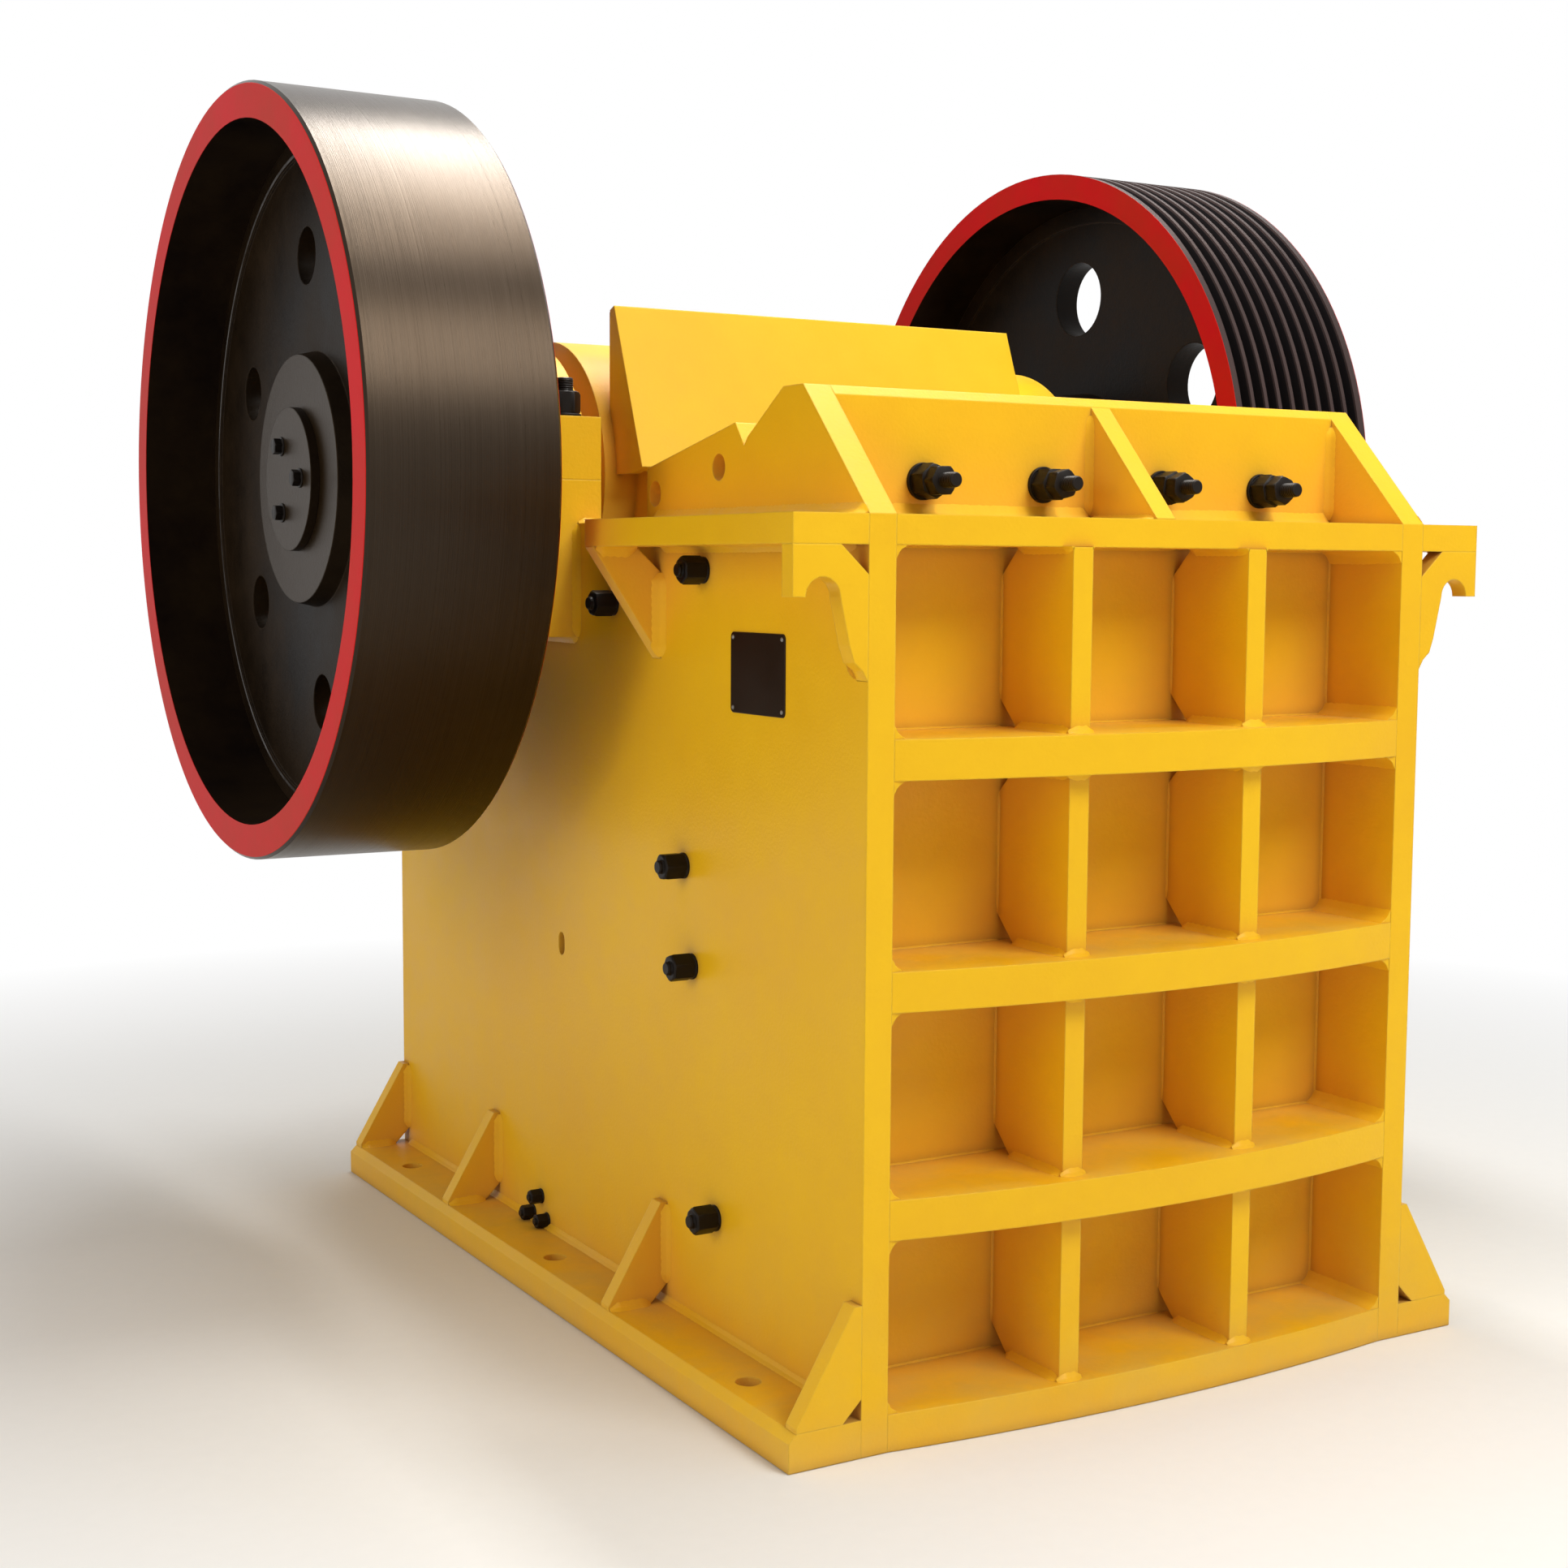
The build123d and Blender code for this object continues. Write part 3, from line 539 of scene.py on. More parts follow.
@dataclass(frozen=True)
class Finish:
    """A named material and how its principled shader is fed."""

    name: str

    def wire(self, graph: Graph, shader: bpy.types.Node) -> None:
        """Feeds the shader.

        Args:
            graph: Graph of the material.
            shader: The material's principled shader.
        """
        raise NotImplementedError

    def bump(self, graph: Graph, height: object, distance: float, normal: object = None) -> Socket:
        """Adds a bump node.

        Args:
            graph: Graph of the material.
            height: Output that gives the height.
            distance: Height of the full range, in metres.
            normal: Normal that the bump starts from.

        Returns:
            The bumped normal.
        """
        made = graph.node(
            "ShaderNodeBump",
            {"Strength": 1.0, "Distance": distance, "Height": height, "Normal": normal})
        return made.outputs[0]

    def material(self) -> bpy.types.Material:
        """Builds the material on first use.

        Returns:
            The material of this finish.
        """
        found = bpy.data.materials.get(self.name)
        if found:
            return found
        made = bpy.data.materials.new(self.name)
        made.use_nodes = True
        self.wire(Graph(made.node_tree), made.node_tree.nodes["Principled BSDF"])
        return made


@dataclass(frozen=True)
class Enamel(Finish):
    """Gloss machine enamel sprayed over welded plate."""

    light: Colour = rgb(0.92, 0.545, 0.011)
    deep: Colour = rgb(0.87, 0.485, 0.012)
    # Lighter yellow on edges: partly painted highlight, partly thinner paint.
    edge_tint: Colour = rgb(0.97, 0.68, 0.08)
    edge_tint_amount: float = 0.45
    # Inside-corner colour: painted shade, partly settled dust, darkening and muting the cells'
    # corners.
    corner: Colour = rgb(0.77, 0.39, 0.13)
    corner_dust_and_shade_amount: float = 0.4
    corner_dust_and_shade_reach: float = 0.19
    # Near-black brown in tight crevices and copes: painted shade.
    painted_crevice_shade: Colour = rgb(0.25, 0.085, 0.03)
    painted_crevice_shade_amount: float = 0.58
    painted_crevice_shade_reach: float = 0.029
    dust: Colour = rgb(0.54, 0.43, 0.17)
    dust_amount: float = 0.38
    dust_roughness: float = 0.75
    edge_radius: float = 0.004
    edge_breakup: float = 0.35
    roughness: Pair = (0.33, 0.45)
    specular: float = 0.16
    coat: float = 0.04
    coat_roughness: float = 0.2
    peel_height: float = 0.0004

    def wire(self, graph: Graph, shader: bpy.types.Node) -> None:
        """Layers tone, painted shade in corners and crevices (partly settled dust), dust, and
        lighter edges (partly painted highlight, partly thinner paint) over the base colour.

        Args:
            graph: Graph of the material.
            shader: The material's principled shader.
        """
        edge = EDGE_WEAR.put(graph, radius=self.edge_radius, breakup=self.edge_breakup)
        mottle = PAINT_MOTTLE.put(graph, scale=1.5)
        dust = SETTLED_DUST.put(graph, amount=self.dust_amount)
        # Broad occlusion mask for the corner colour: painted shade, partly settled dust.
        corner = CORNER_SHADE.put(graph, reach=self.corner_dust_and_shade_reach, amount=self.corner_dust_and_shade_amount)
        # Tight occlusion mask: painted shade in crevices and copes.
        crevice = CORNER_SHADE.put(graph, reach=self.painted_crevice_shade_reach, amount=self.painted_crevice_shade_amount)
        colour = graph.blend(mottle["tone"], self.deep, self.light)
        # Darkens inside corners: painted shade, partly settled dust.
        colour = graph.blend(corner["mask"], colour, self.corner)
        # Darkens tight crevices: painted shade.
        colour = graph.blend(crevice["mask"], colour, self.painted_crevice_shade)
        # Lighter edges: partly painted highlight, partly thinner paint.
        colour = graph.blend(graph.times(edge["mask"], self.edge_tint_amount), colour, self.edge_tint)
        gloss = graph.blend_value(mottle["gloss"], *self.roughness)
        graph.fill(shader, {
            "Base Color": graph.blend(dust["mask"], colour, self.dust),
            "Roughness": graph.blend_value(dust["mask"], gloss, self.dust_roughness),
            "Specular IOR Level": self.specular,
            "Coat Weight": self.coat,
            "Coat Roughness": self.coat_roughness,
            "Normal": self.bump(graph, mottle["height"], self.peel_height, edge["rounded"])})


@dataclass(frozen=True)
class BlackFastener(Finish):
    """Blackened bolts and nuts with a little wear on the corners."""

    base: Colour = rgb(0.008, 0.006, 0.005)
    edge_tint: Colour = rgb(0.09, 0.078, 0.066)
    edge_tint_amount: float = 0.5
    film: Colour = rgb(0.03, 0.018, 0.01)
    film_amount: float = 0.2
    roughness: Pair = (0.34, 0.54)
    metallic: float = 0.2
    specular: float = 0.16
    grain_height: float = 0.0003

    def wire(self, graph: Graph, shader: bpy.types.Node) -> None:
        """Near black with grey corners.

        Args:
            graph: Graph of the material.
            shader: The material's principled shader.
        """
        edge = EDGE_WEAR.put(graph, radius=0.0015, breakup=0.8)
        grain = CAST_GRAIN.put(graph, scale=260.0)
        colour = graph.blend(graph.times(edge["mask"], self.edge_tint_amount), self.base, self.edge_tint)
        film = graph.times(grain["stain"], self.film_amount)
        graph.fill(shader, {
            "Base Color": graph.blend(film, colour, self.film),
            "Metallic": self.metallic,
            "Specular IOR Level": self.specular,
            "Roughness": graph.blend_value(grain["stain"], *self.roughness),
            "Normal": self.bump(graph, grain["height"], self.grain_height, edge["rounded"])})


@dataclass(frozen=True)
class Casting(Finish):
    """Dark brown black paint over a rough casting, with machined bosses."""

    base: Colour = rgb(0.007, 0.0042, 0.0022)
    stain: Colour = rgb(0.022, 0.013, 0.006)
    edge_tint: Colour = rgb(0.10, 0.07, 0.045)
    edge_tint_amount: float = 0.45
    machined: Colour = rgb(0.040, 0.024, 0.010)
    machined_radius: float = 0.245
    machined_faces: tuple[float, ...] = ()
    face_reach: float = 0.0012
    machined_metallic: float = 0.55
    machined_roughness: float = 0.36
    # Pale grey ring at the flywheel's step edge: painted highlight.
    step_edge_highlight: Colour = rgb(0.20, 0.20, 0.21)
    step_edge_highlight_ring: Pair = (0.0, 0.0)
    step_edge_highlight_range: Pair = (0.9, 0.2)
    roughness: Pair = (0.36, 0.52)
    specular: float = 0.08
    grain_height: float = 0.0008

    def machined_mask(self, graph: Graph, turned: dict[str, Socket]) -> Socket:
        """Finds the machined faces.

        Args:
            graph: Graph of the material.
            turned: Outputs of the turned lines effect.

        Returns:
            1 on the faces inside the machined radius, and 0 elsewhere.
        """
        mask = None
        for face in self.machined_faces:
            near = graph.math("COMPARE", turned["along"], face)
            near.node.inputs[2].default_value = self.face_reach
            mask = near if mask is None else graph.more(mask, near)
        return graph.times(mask, graph.math("LESS_THAN", turned["radius"], self.machined_radius))

    def wire(self, graph: Graph, shader: bpy.types.Node) -> None:
        """Masks the machined faces by their place along the shaft.

        Args:
            graph: Graph of the material.
            shader: The material's principled shader.
        """
        edge = EDGE_WEAR.put(graph, radius=0.004, breakup=0.6)
        grain = CAST_GRAIN.put(graph, scale=150.0)
        turned = TURNED_LINES.put(graph, pitch=420.0)
        colour = graph.blend(grain["stain"], self.base, self.stain)
        colour = graph.blend(graph.times(edge["mask"], self.edge_tint_amount), colour, self.edge_tint)
        rough = graph.blend_value(grain["stain"], *self.roughness)
        if self.machined_faces:
            mask = self.machined_mask(graph, turned)
            oil = graph.blend(turned["lines"], self.machined, self.stain)
            colour = graph.blend(mask, colour, oil)
            rough = graph.blend_value(mask, rough, self.machined_roughness)
            graph.feed(shader.inputs["Metallic"], graph.times(mask, self.machined_metallic))
        # Painted highlight: a pale grey ring, broken by stains, at the flywheel's step edge.
        if self.step_edge_highlight_ring[1]:
            low, high = self.step_edge_highlight_ring
            ring = graph.times(
                graph.math("GREATER_THAN", turned["radius"], low),
                graph.math("LESS_THAN", turned["radius"], high))
            patches = graph.band(grain["stain"], *self.step_edge_highlight_range)
            colour = graph.blend(graph.times(ring, patches), colour, self.step_edge_highlight)
        graph.fill(shader, {
            "Base Color": colour,
            "Roughness": rough,
            "Specular IOR Level": self.specular,
            "Normal": self.bump(graph, grain["height"], self.grain_height, edge["rounded"])})


@dataclass(frozen=True)
class WheelRim(Finish):
    """Rim with red painted end faces, a turned outside and a dark bore."""

    faces: Pair = (0.0, 0.0)
    outer_radius: float = 0.742
    face_reach: float = 0.0009
    bore_depth: float = 0.03
    land_depth: float = 0.0035
    land_blend: float = 0.001
    grooved: bool = False
    red: Colour = rgb(0.66, 0.010, 0.014)
    red_shade: Colour = rgb(0.55, 0.024, 0.012)
    metal: Colour = rgb(0.049, 0.037, 0.027)
    metal_dark: Colour = rgb(0.029, 0.020, 0.013)
    stain_amount: float = 0.3
    groove: Colour = rgb(0.012, 0.010, 0.011)
    groove_metallic: float = 0.5
    bore: Colour = rgb(0.007, 0.004, 0.003)
    bore_stain: Colour = rgb(0.022, 0.013, 0.006)
    metal_roughness: Pair = (0.23, 0.39)
    paint_roughness: float = 0.4
    metallic: float = 0.92
    specular: float = 0.035
    line_height: float = 0.00025

    def wire(self, graph: Graph, shader: bpy.types.Node) -> None:
        """Chooses red, turned metal or dark paint by radius and place along the shaft.

        Args:
            graph: Graph of the material.
            shader: The material's principled shader.
        """
        turned = TURNED_LINES.put(graph, pitch=700.0)
        grain = CAST_GRAIN.put(graph, scale=160.0)
        radius, lines, stain = turned["radius"], turned["lines"], grain["stain"]
        end = graph.more(
            graph.math("LESS_THAN", turned["along"], min(self.faces) + self.face_reach),
            graph.math("GREATER_THAN", turned["along"], max(self.faces) - self.face_reach))
        outside = graph.math("GREATER_THAN", radius, self.outer_radius - self.bore_depth)
        land_radius = self.outer_radius - self.land_depth
        land = graph.band(radius, land_radius - self.land_blend, land_radius)
        metal = graph.blend(lines, self.metal_dark, self.metal)
        metal = graph.blend(graph.times(stain, self.stain_amount), metal, self.metal_dark)
        if self.grooved:
            metal = graph.blend(land, self.groove, metal)
        bore = graph.blend(stain, self.bore, self.bore_stain)
        red = graph.blend(stain, self.red, self.red_shade)
        shine = graph.times(outside, graph.math("SUBTRACT", 1.0, end))
        turned_rough = graph.blend_value(lines, *self.metal_roughness)
        rough = graph.blend_value(shine, self.paint_roughness, turned_rough)
        if self.grooved:
            shine = graph.times(shine, graph.blend_value(land, self.groove_metallic, 1.0))
        height = graph.blend_value(shine, grain["height"], lines)
        graph.fill(shader, {
            "Base Color": graph.blend(end, graph.blend(outside, bore, metal), red),
            "Metallic": graph.times(shine, self.metallic),
            "Specular IOR Level": self.specular,
            "Roughness": rough,
            "Normal": self.bump(graph, height, self.line_height)})


@dataclass(frozen=True)
class WornSteel(Finish):
    """Bare steel: wear plate, forging, toggle or spring."""

    base: Colour = rgb(0.22, 0.20, 0.18)
    shade: Colour = rgb(0.11, 0.085, 0.065)
    edge_tint: Colour = rgb(0.50, 0.48, 0.45)
    edge_tint_amount: float = 0.7
    metallic: float = 0.75
    roughness: Pair = (0.40, 0.62)
    grain_height: float = 0.0012

    def wire(self, graph: Graph, shader: bpy.types.Node) -> None:
        """Stained steel with brighter edges.

        Args:
            graph: Graph of the material.
            shader: The material's principled shader.
        """
        edge = EDGE_WEAR.put(graph, radius=0.004, breakup=0.6)
        grain = CAST_GRAIN.put(graph, scale=120.0)
        colour = graph.blend(grain["stain"], self.base, self.shade)
        graph.fill(shader, {
            "Base Color": graph.blend(
                graph.times(edge["mask"], self.edge_tint_amount), colour, self.edge_tint),
            "Metallic": self.metallic,
            "Roughness": graph.blend_value(grain["stain"], *self.roughness),
            "Normal": self.bump(graph, grain["height"], self.grain_height, edge["rounded"])})


@dataclass(frozen=True)
class StageFinish(Finish):
    """Pale floor that fades to white away from the machine."""

    pale: Colour = rgb(0.86, 0.86, 0.85)
    speck: Colour = rgb(0.83, 0.83, 0.82)
    fade_range: Pair = (1.6, 4.2)
    grain_scale: float = 30.0
    roughness: float = 0.9
    specular: float = 0.1

    def wire(self, graph: Graph, shader: bpy.types.Node) -> None:
        """Mixes the lit floor with plain white by the distance from the machine.

        Args:
            graph: Graph of the material.
            shader: The material's principled shader.
        """
        x, y, _ = graph.split(graph.where())
        fade = graph.band(graph.length(x, y), *self.fade_range)
        grain = graph.noise(graph.where(), self.grain_scale, 5.0, 0.6)
        graph.fill(shader, {
            "Base Color": graph.blend(grain, self.pale, self.speck),
            "Roughness": self.roughness,
            "Specular IOR Level": self.specular})
        graph.finish_white("OUTPUT_MATERIAL", shader.outputs[0], "ShaderNodeEmission", fade)


PAINT = Enamel("yellow_enamel")
WELD_PAINT = Enamel(
    "enamel_over_weld", edge_radius=0.002, corner_dust_and_shade_amount=0.3, dust_amount=0.2, painted_crevice_shade_amount=0.2)
FASTENER = BlackFastener("black_fastener")
PLATE_BLACK = BlackFastener(
    "nameplate_black", base=rgb(0.022, 0.012, 0.006), edge_tint=rgb(0.07, 0.05, 0.035),
    roughness=(0.26, 0.46))
WEAR_PLATE = WornSteel("wear_plate")
DARK_STEEL = WornSteel(
    "dark_steel_parts", base=rgb(0.06, 0.055, 0.05), shade=rgb(0.03, 0.024, 0.018),
    edge_tint=rgb(0.2, 0.19, 0.18))
FORGED = WornSteel(
    "forged_shaft", base=rgb(0.42, 0.40, 0.37), shade=rgb(0.28, 0.24, 0.19),
    roughness=(0.22, 0.44), grain_height=0.0002, metallic=1.0)
TOGGLE_CAST = WornSteel(
    "toggle_casting", base=rgb(0.14, 0.125, 0.11), shade=rgb(0.09, 0.06, 0.04),
    roughness=(0.50, 0.72))
SPRING = WornSteel(
    "spring_wire", base=rgb(0.16, 0.16, 0.165), shade=rgb(0.10, 0.085, 0.07),
    roughness=(0.28, 0.50), grain_height=0.0002)
PLATE_EDGE = WornSteel(
    "nameplate_edge", base=rgb(0.32, 0.31, 0.30), shade=rgb(0.2, 0.18, 0.16),
    roughness=(0.32, 0.54), grain_height=0.0001)


# ------------------------------------------------------------------ mesh building


@dataclass
class Piece:
    """Solids of one visible piece, gathered in one mesh."""

    name: str
    body: Body
    slot: Slot
    finish: Finish
    mesh: bmesh.types.BMesh = field(default_factory=bmesh.new)

    def loft(self, rings: Sequence[Ring]) -> None:
        """Skins a row of rings of equal count and caps both ends.

        Args:
            rings: Closed rings, each a list of points.
        """
        rows = [[self.mesh.verts.new(point) for point in ring] for ring in rings]
        count = len(rows[0])
        for one, two in zip(rows, rows[1:]):
            for index in range(count):
                after = (index + 1) % count
                self.mesh.faces.new((one[index], one[after], two[after], two[index]))
        self.mesh.faces.new(list(reversed(rows[0])))
        self.mesh.faces.new(rows[-1])

    def lathe(self, profile: Iterable[Pair], origin: Vector, axis: Vector, segments: int) -> None:
        """Turns a profile about an axis.

        Args:
            profile: Points as (distance along the axis, radius), both in mm.
            origin: Start of the axis in metres.
            axis: Direction of the axis.
            segments: Points round each ring.
        """
        matrix = turned_frame(origin, axis)
        rings = []
        for along, radius in profile:
            rings.append([
                matrix @ Vector((
                    radius * MM * math.cos(2 * math.pi * k / segments),
                    radius * MM * math.sin(2 * math.pi * k / segments),
                    along * MM))
                for k in range(segments)])
        self.loft(rings)

    def hexagon(
            self, across_flats: float, height: float, origin: Vector, axis: Vector,
            start: float, turn: float = 0.0) -> None:
        """Adds a hexagon nut or head with chamfered corners.

        Args:
            across_flats: Width between two flats in mm.
            height: Height in mm.
            origin: Point on the seat in metres.
            axis: Direction away from the seat.
            start: Distance of the nut's seat from the origin in mm.
            turn: Turn about the axis in degrees.
        """
        matrix = turned_frame(origin, axis)
        apothem = across_flats / 2
        corner = apothem / math.cos(math.pi / 6)
        chamfer = height * HEXAGON_CHAMFER
        foot, shoulder, top = (apothem * share for share in HEXAGON_ROUNDS)
        lower, upper = (chamfer * share for share in HEXAGON_STEPS)
        limits = (
            (0.0, foot), (lower, corner), (height - chamfer, corner),
            (height - upper, shoulder), (height, top))
        rings = []
        for along, limit in limits:
            ring = []
            for k in range(HEXAGON_POINTS):
                angle = 2 * math.pi * k / HEXAGON_POINTS
                off = (angle + math.pi / 6) % (math.pi / 3) - math.pi / 6
                radius = min(apothem / math.cos(off), limit) * MM
                spin = angle + math.radians(turn)
                ring.append(matrix @ Vector((
                    radius * math.cos(spin), radius * math.sin(spin), (start + along) * MM)))
            rings.append(ring)
        self.loft(rings)

    def thread(
            self, radius: float, start: float, end: float, origin: Vector, axis: Vector,
            pitch: float) -> None:
        """Adds a threaded bolt end with a chamfered tip.

        Args:
            radius: Outer radius in mm.
            start: First distance along the axis in mm.
            end: Tip distance in mm.
            origin: Start of the axis in metres.
            axis: Direction of the axis.
            pitch: Thread pitch in mm.
        """
        root = radius * THREAD_ROOT
        profile = [(start, root)]
        along = start
        while along + pitch < end - pitch * THREAD_ROOM:
            profile += [(along + pitch / 2, radius), (along + pitch, root)]
            along += pitch
        shoulder, tip = (radius * share for share in THREAD_TIP)
        profile += [(end - pitch / 2, shoulder), (end, tip)]
        self.lathe(profile, origin, axis, THREAD_POINTS)

    def block(self, low: Vector, high: Vector, bevel: float) -> None:
        """Adds a box with its edges cut.

        Args:
            low: Lowest corner in metres.
            high: Highest corner in metres.
            bevel: Size of the cut in mm.
        """
        made = bmesh.ops.create_cube(self.mesh, size=1.0)["verts"]
        middle, size = (low + high) / 2, high - low
        for vert in made:
            vert.co = Vector([middle[k] + vert.co[k] * size[k] for k in range(3)])
        edges = list({edge for vert in made for edge in vert.link_edges})
        bmesh.ops.bevel(
            self.mesh, geom=edges, offset=bevel * MM, segments=2, profile=0.5, affect="EDGES")

    def done(self, smooth_angle: float = 32.0) -> bpy.types.Object:
        """Turns the gathered solids into an object that rides on its body.

        Args:
            smooth_angle: Faces that meet at less than this many degrees are shaded smooth.

        Returns:
            The new object.
        """
        bmesh.ops.recalc_face_normals(self.mesh, faces=self.mesh.faces)
        for face in self.mesh.faces:
            face.smooth = True
        for edge in self.mesh.edges:
            if len(edge.link_faces) == 2:
                edge.smooth = edge.calc_face_angle(0.0) < math.radians(smooth_angle)
        data = bpy.data.meshes.new(self.name)
        self.mesh.to_mesh(data)
        self.mesh.free()
        data.materials.append(self.finish.material())
        made = bpy.data.objects.new(self.name, data)
        bpy.context.scene.collection.objects.link(made)
        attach(made, self.body.value)
        log.info("%s: %d faces on %s", self.name, len(data.polygons), self.body.value)
        return made


def turned_frame(origin: Vector, axis: Vector) -> Matrix:
    """Matrix whose Z runs along an axis from an origin.

    Args:
        origin: Place of the matrix in metres.
        axis: Direction of its Z.

    Returns:
        The matrix.
    """
    return Matrix.Translation(origin) @ axis.to_track_quat("Z", "Y").to_matrix().to_4x4()


@dataclass(frozen=True)
class Screw:
    """Washer, hexagon and threaded end of one kind of screw, with its sizes in mm."""

    flats: float
    height: float
    bore: float
    rim: float
    washer: float
    around: int = 40
    thread: float = 0.0
    thread_start: float = 0.0
    tip: float = 0.0
    pitch: float = 4.5
    sunk: float = 1.0
    cut: float = 1.0

    def add(self, piece: Piece, seat: Vector, axis: Vector, turn: float) -> None:
        """Adds one screw to a piece.

        Args:
            piece: Piece that holds the screws.
            seat: Point on the plate in metres.
            axis: Direction away from the plate.
            turn: Turn of the hexagon in degrees.
        """
        profile = [
            (-self.sunk, self.bore), (-self.sunk, self.rim), (self.washer - self.cut, self.rim),
            (self.washer, self.rim - self.cut), (self.washer, self.bore)]
        piece.lathe(profile, seat, axis, self.around)
        piece.hexagon(self.flats, self.height, seat, axis, self.washer, turn)
        if self.tip:
            piece.thread(self.thread, self.thread_start, self.tip, seat, axis, self.pitch)


class Assembly:
    """One sub-assembly of the crusher's visible pieces."""

    def build(self) -> None:
        """Builds and dresses every piece of the sub-assembly."""
        raise NotImplementedError


def fasteners(name: str, body: Body = Body.FRAME, finish: Finish = FASTENER) -> Piece:
    """Empty piece for screws and nuts."""
    return Piece(name, body, Slot.DARK_STEEL, finish)


# -------------------------------------------------------------------- weld beads


@dataclass(frozen=True)
class WeldRun:
    """One fillet weld along a straight joint between two plates."""

    start: Vector
    end: Vector
    first_face: Vector
    second_face: Vector
    leg: float
    blunt: bool


@dataclass
class WeldSeams(Assembly):
    """Painted fillet welds of one area, all in one piece."""

    name: str
    runs: list[WeldRun]
    seed: int
    step: float = 7.0
    ripple: float = 0.05
    finish: Finish = WELD_PAINT
    sunk: float = 0.0012
    arc: tuple[float, ...] = (0.14, 0.38, 0.62, 0.86)
    hollow: float = 0.26
    drift: float = 0.03
    drift_kept: float = 0.7
    taper: float = 0.35
    smooth_angle: float = 50.0

    def ring(self, run: WeldRun, spot: Vector, leg: float) -> Ring:
        """Cross-section of a bead.

        Args:
            run: The weld run.
            spot: Point on the joint in metres.
            leg: Leg length in metres.

        Returns:
            Points round the section.
        """
        one, two = run.first_face, run.second_face
        ring = [spot - (one + two) * self.sunk, spot + two * leg - one * self.sunk]
        for share in self.arc:
            bulge = 1.0 - self.hollow * math.sin(math.pi * share)
            ring.append(spot + (one * share + two * (1 - share)) * leg * bulge)
        ring.append(spot + one * leg - two * self.sunk)
        return ring

    def build(self) -> None:
        """Builds every bead with its ripples and tapered ends."""
        draw = random.Random(self.seed)
        piece = Piece(self.name, Body.FRAME, Slot.YELLOW_PAINT, self.finish)
        for run in self.runs:
            count = max(3, int((run.end - run.start).length / (self.step * MM)))
            rings = []
            wander = 0.0
            for k in range(count + 1):
                wander = wander * self.drift_kept + draw.uniform(-self.drift, self.drift)
                taper = 1.0 if run.blunt else min(1.0, self.taper * (1 + min(k, count - k)))
                wave = 1.0 + (self.ripple if k % 2 else -self.ripple) + wander
                spot = run.start.lerp(run.end, k / count)
                rings.append(self.ring(run, spot, run.leg * MM * taper * wave))
            piece.loft(rings)
        piece.done(self.smooth_angle)


def axis_of(letter: str) -> Vector:
    """Unit vector from a signed letter such as +x or -z."""
    sign = 1.0 if letter[0] == "+" else -1.0
    return Vector([sign if letter[1] == k else 0.0 for k in "xyz"])


def seam(
        start: tuple, end: tuple, one: str, two: str, leg: float, blunt: bool = False) -> WeldRun:
    """Weld run between two (x, depth, height) points.

    Args:
        start: First point in mm.
        end: Last point in mm.
        one: Signed letter of the direction along the first plate.
        two: Signed letter of the direction along the second plate.
        leg: Leg length in mm.
        blunt: Keeps the full leg up to both ends.

    Returns:
        The weld run.
    """
    return WeldRun(place(*start), place(*end), axis_of(one), axis_of(two), leg, blunt)


def node_box(node: str) -> tuple[Triple, Triple]:
    """Box of a node.

    Args:
        node: Name of the node.

    Returns:
        Lowest and highest (x, depth, height) in mm.
    """
    low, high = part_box(node)
    return tuple(
        (corner[0] / MM, corner[1] / MM + FRONT_DEPTH, corner[2] / MM) for corner in (low, high))


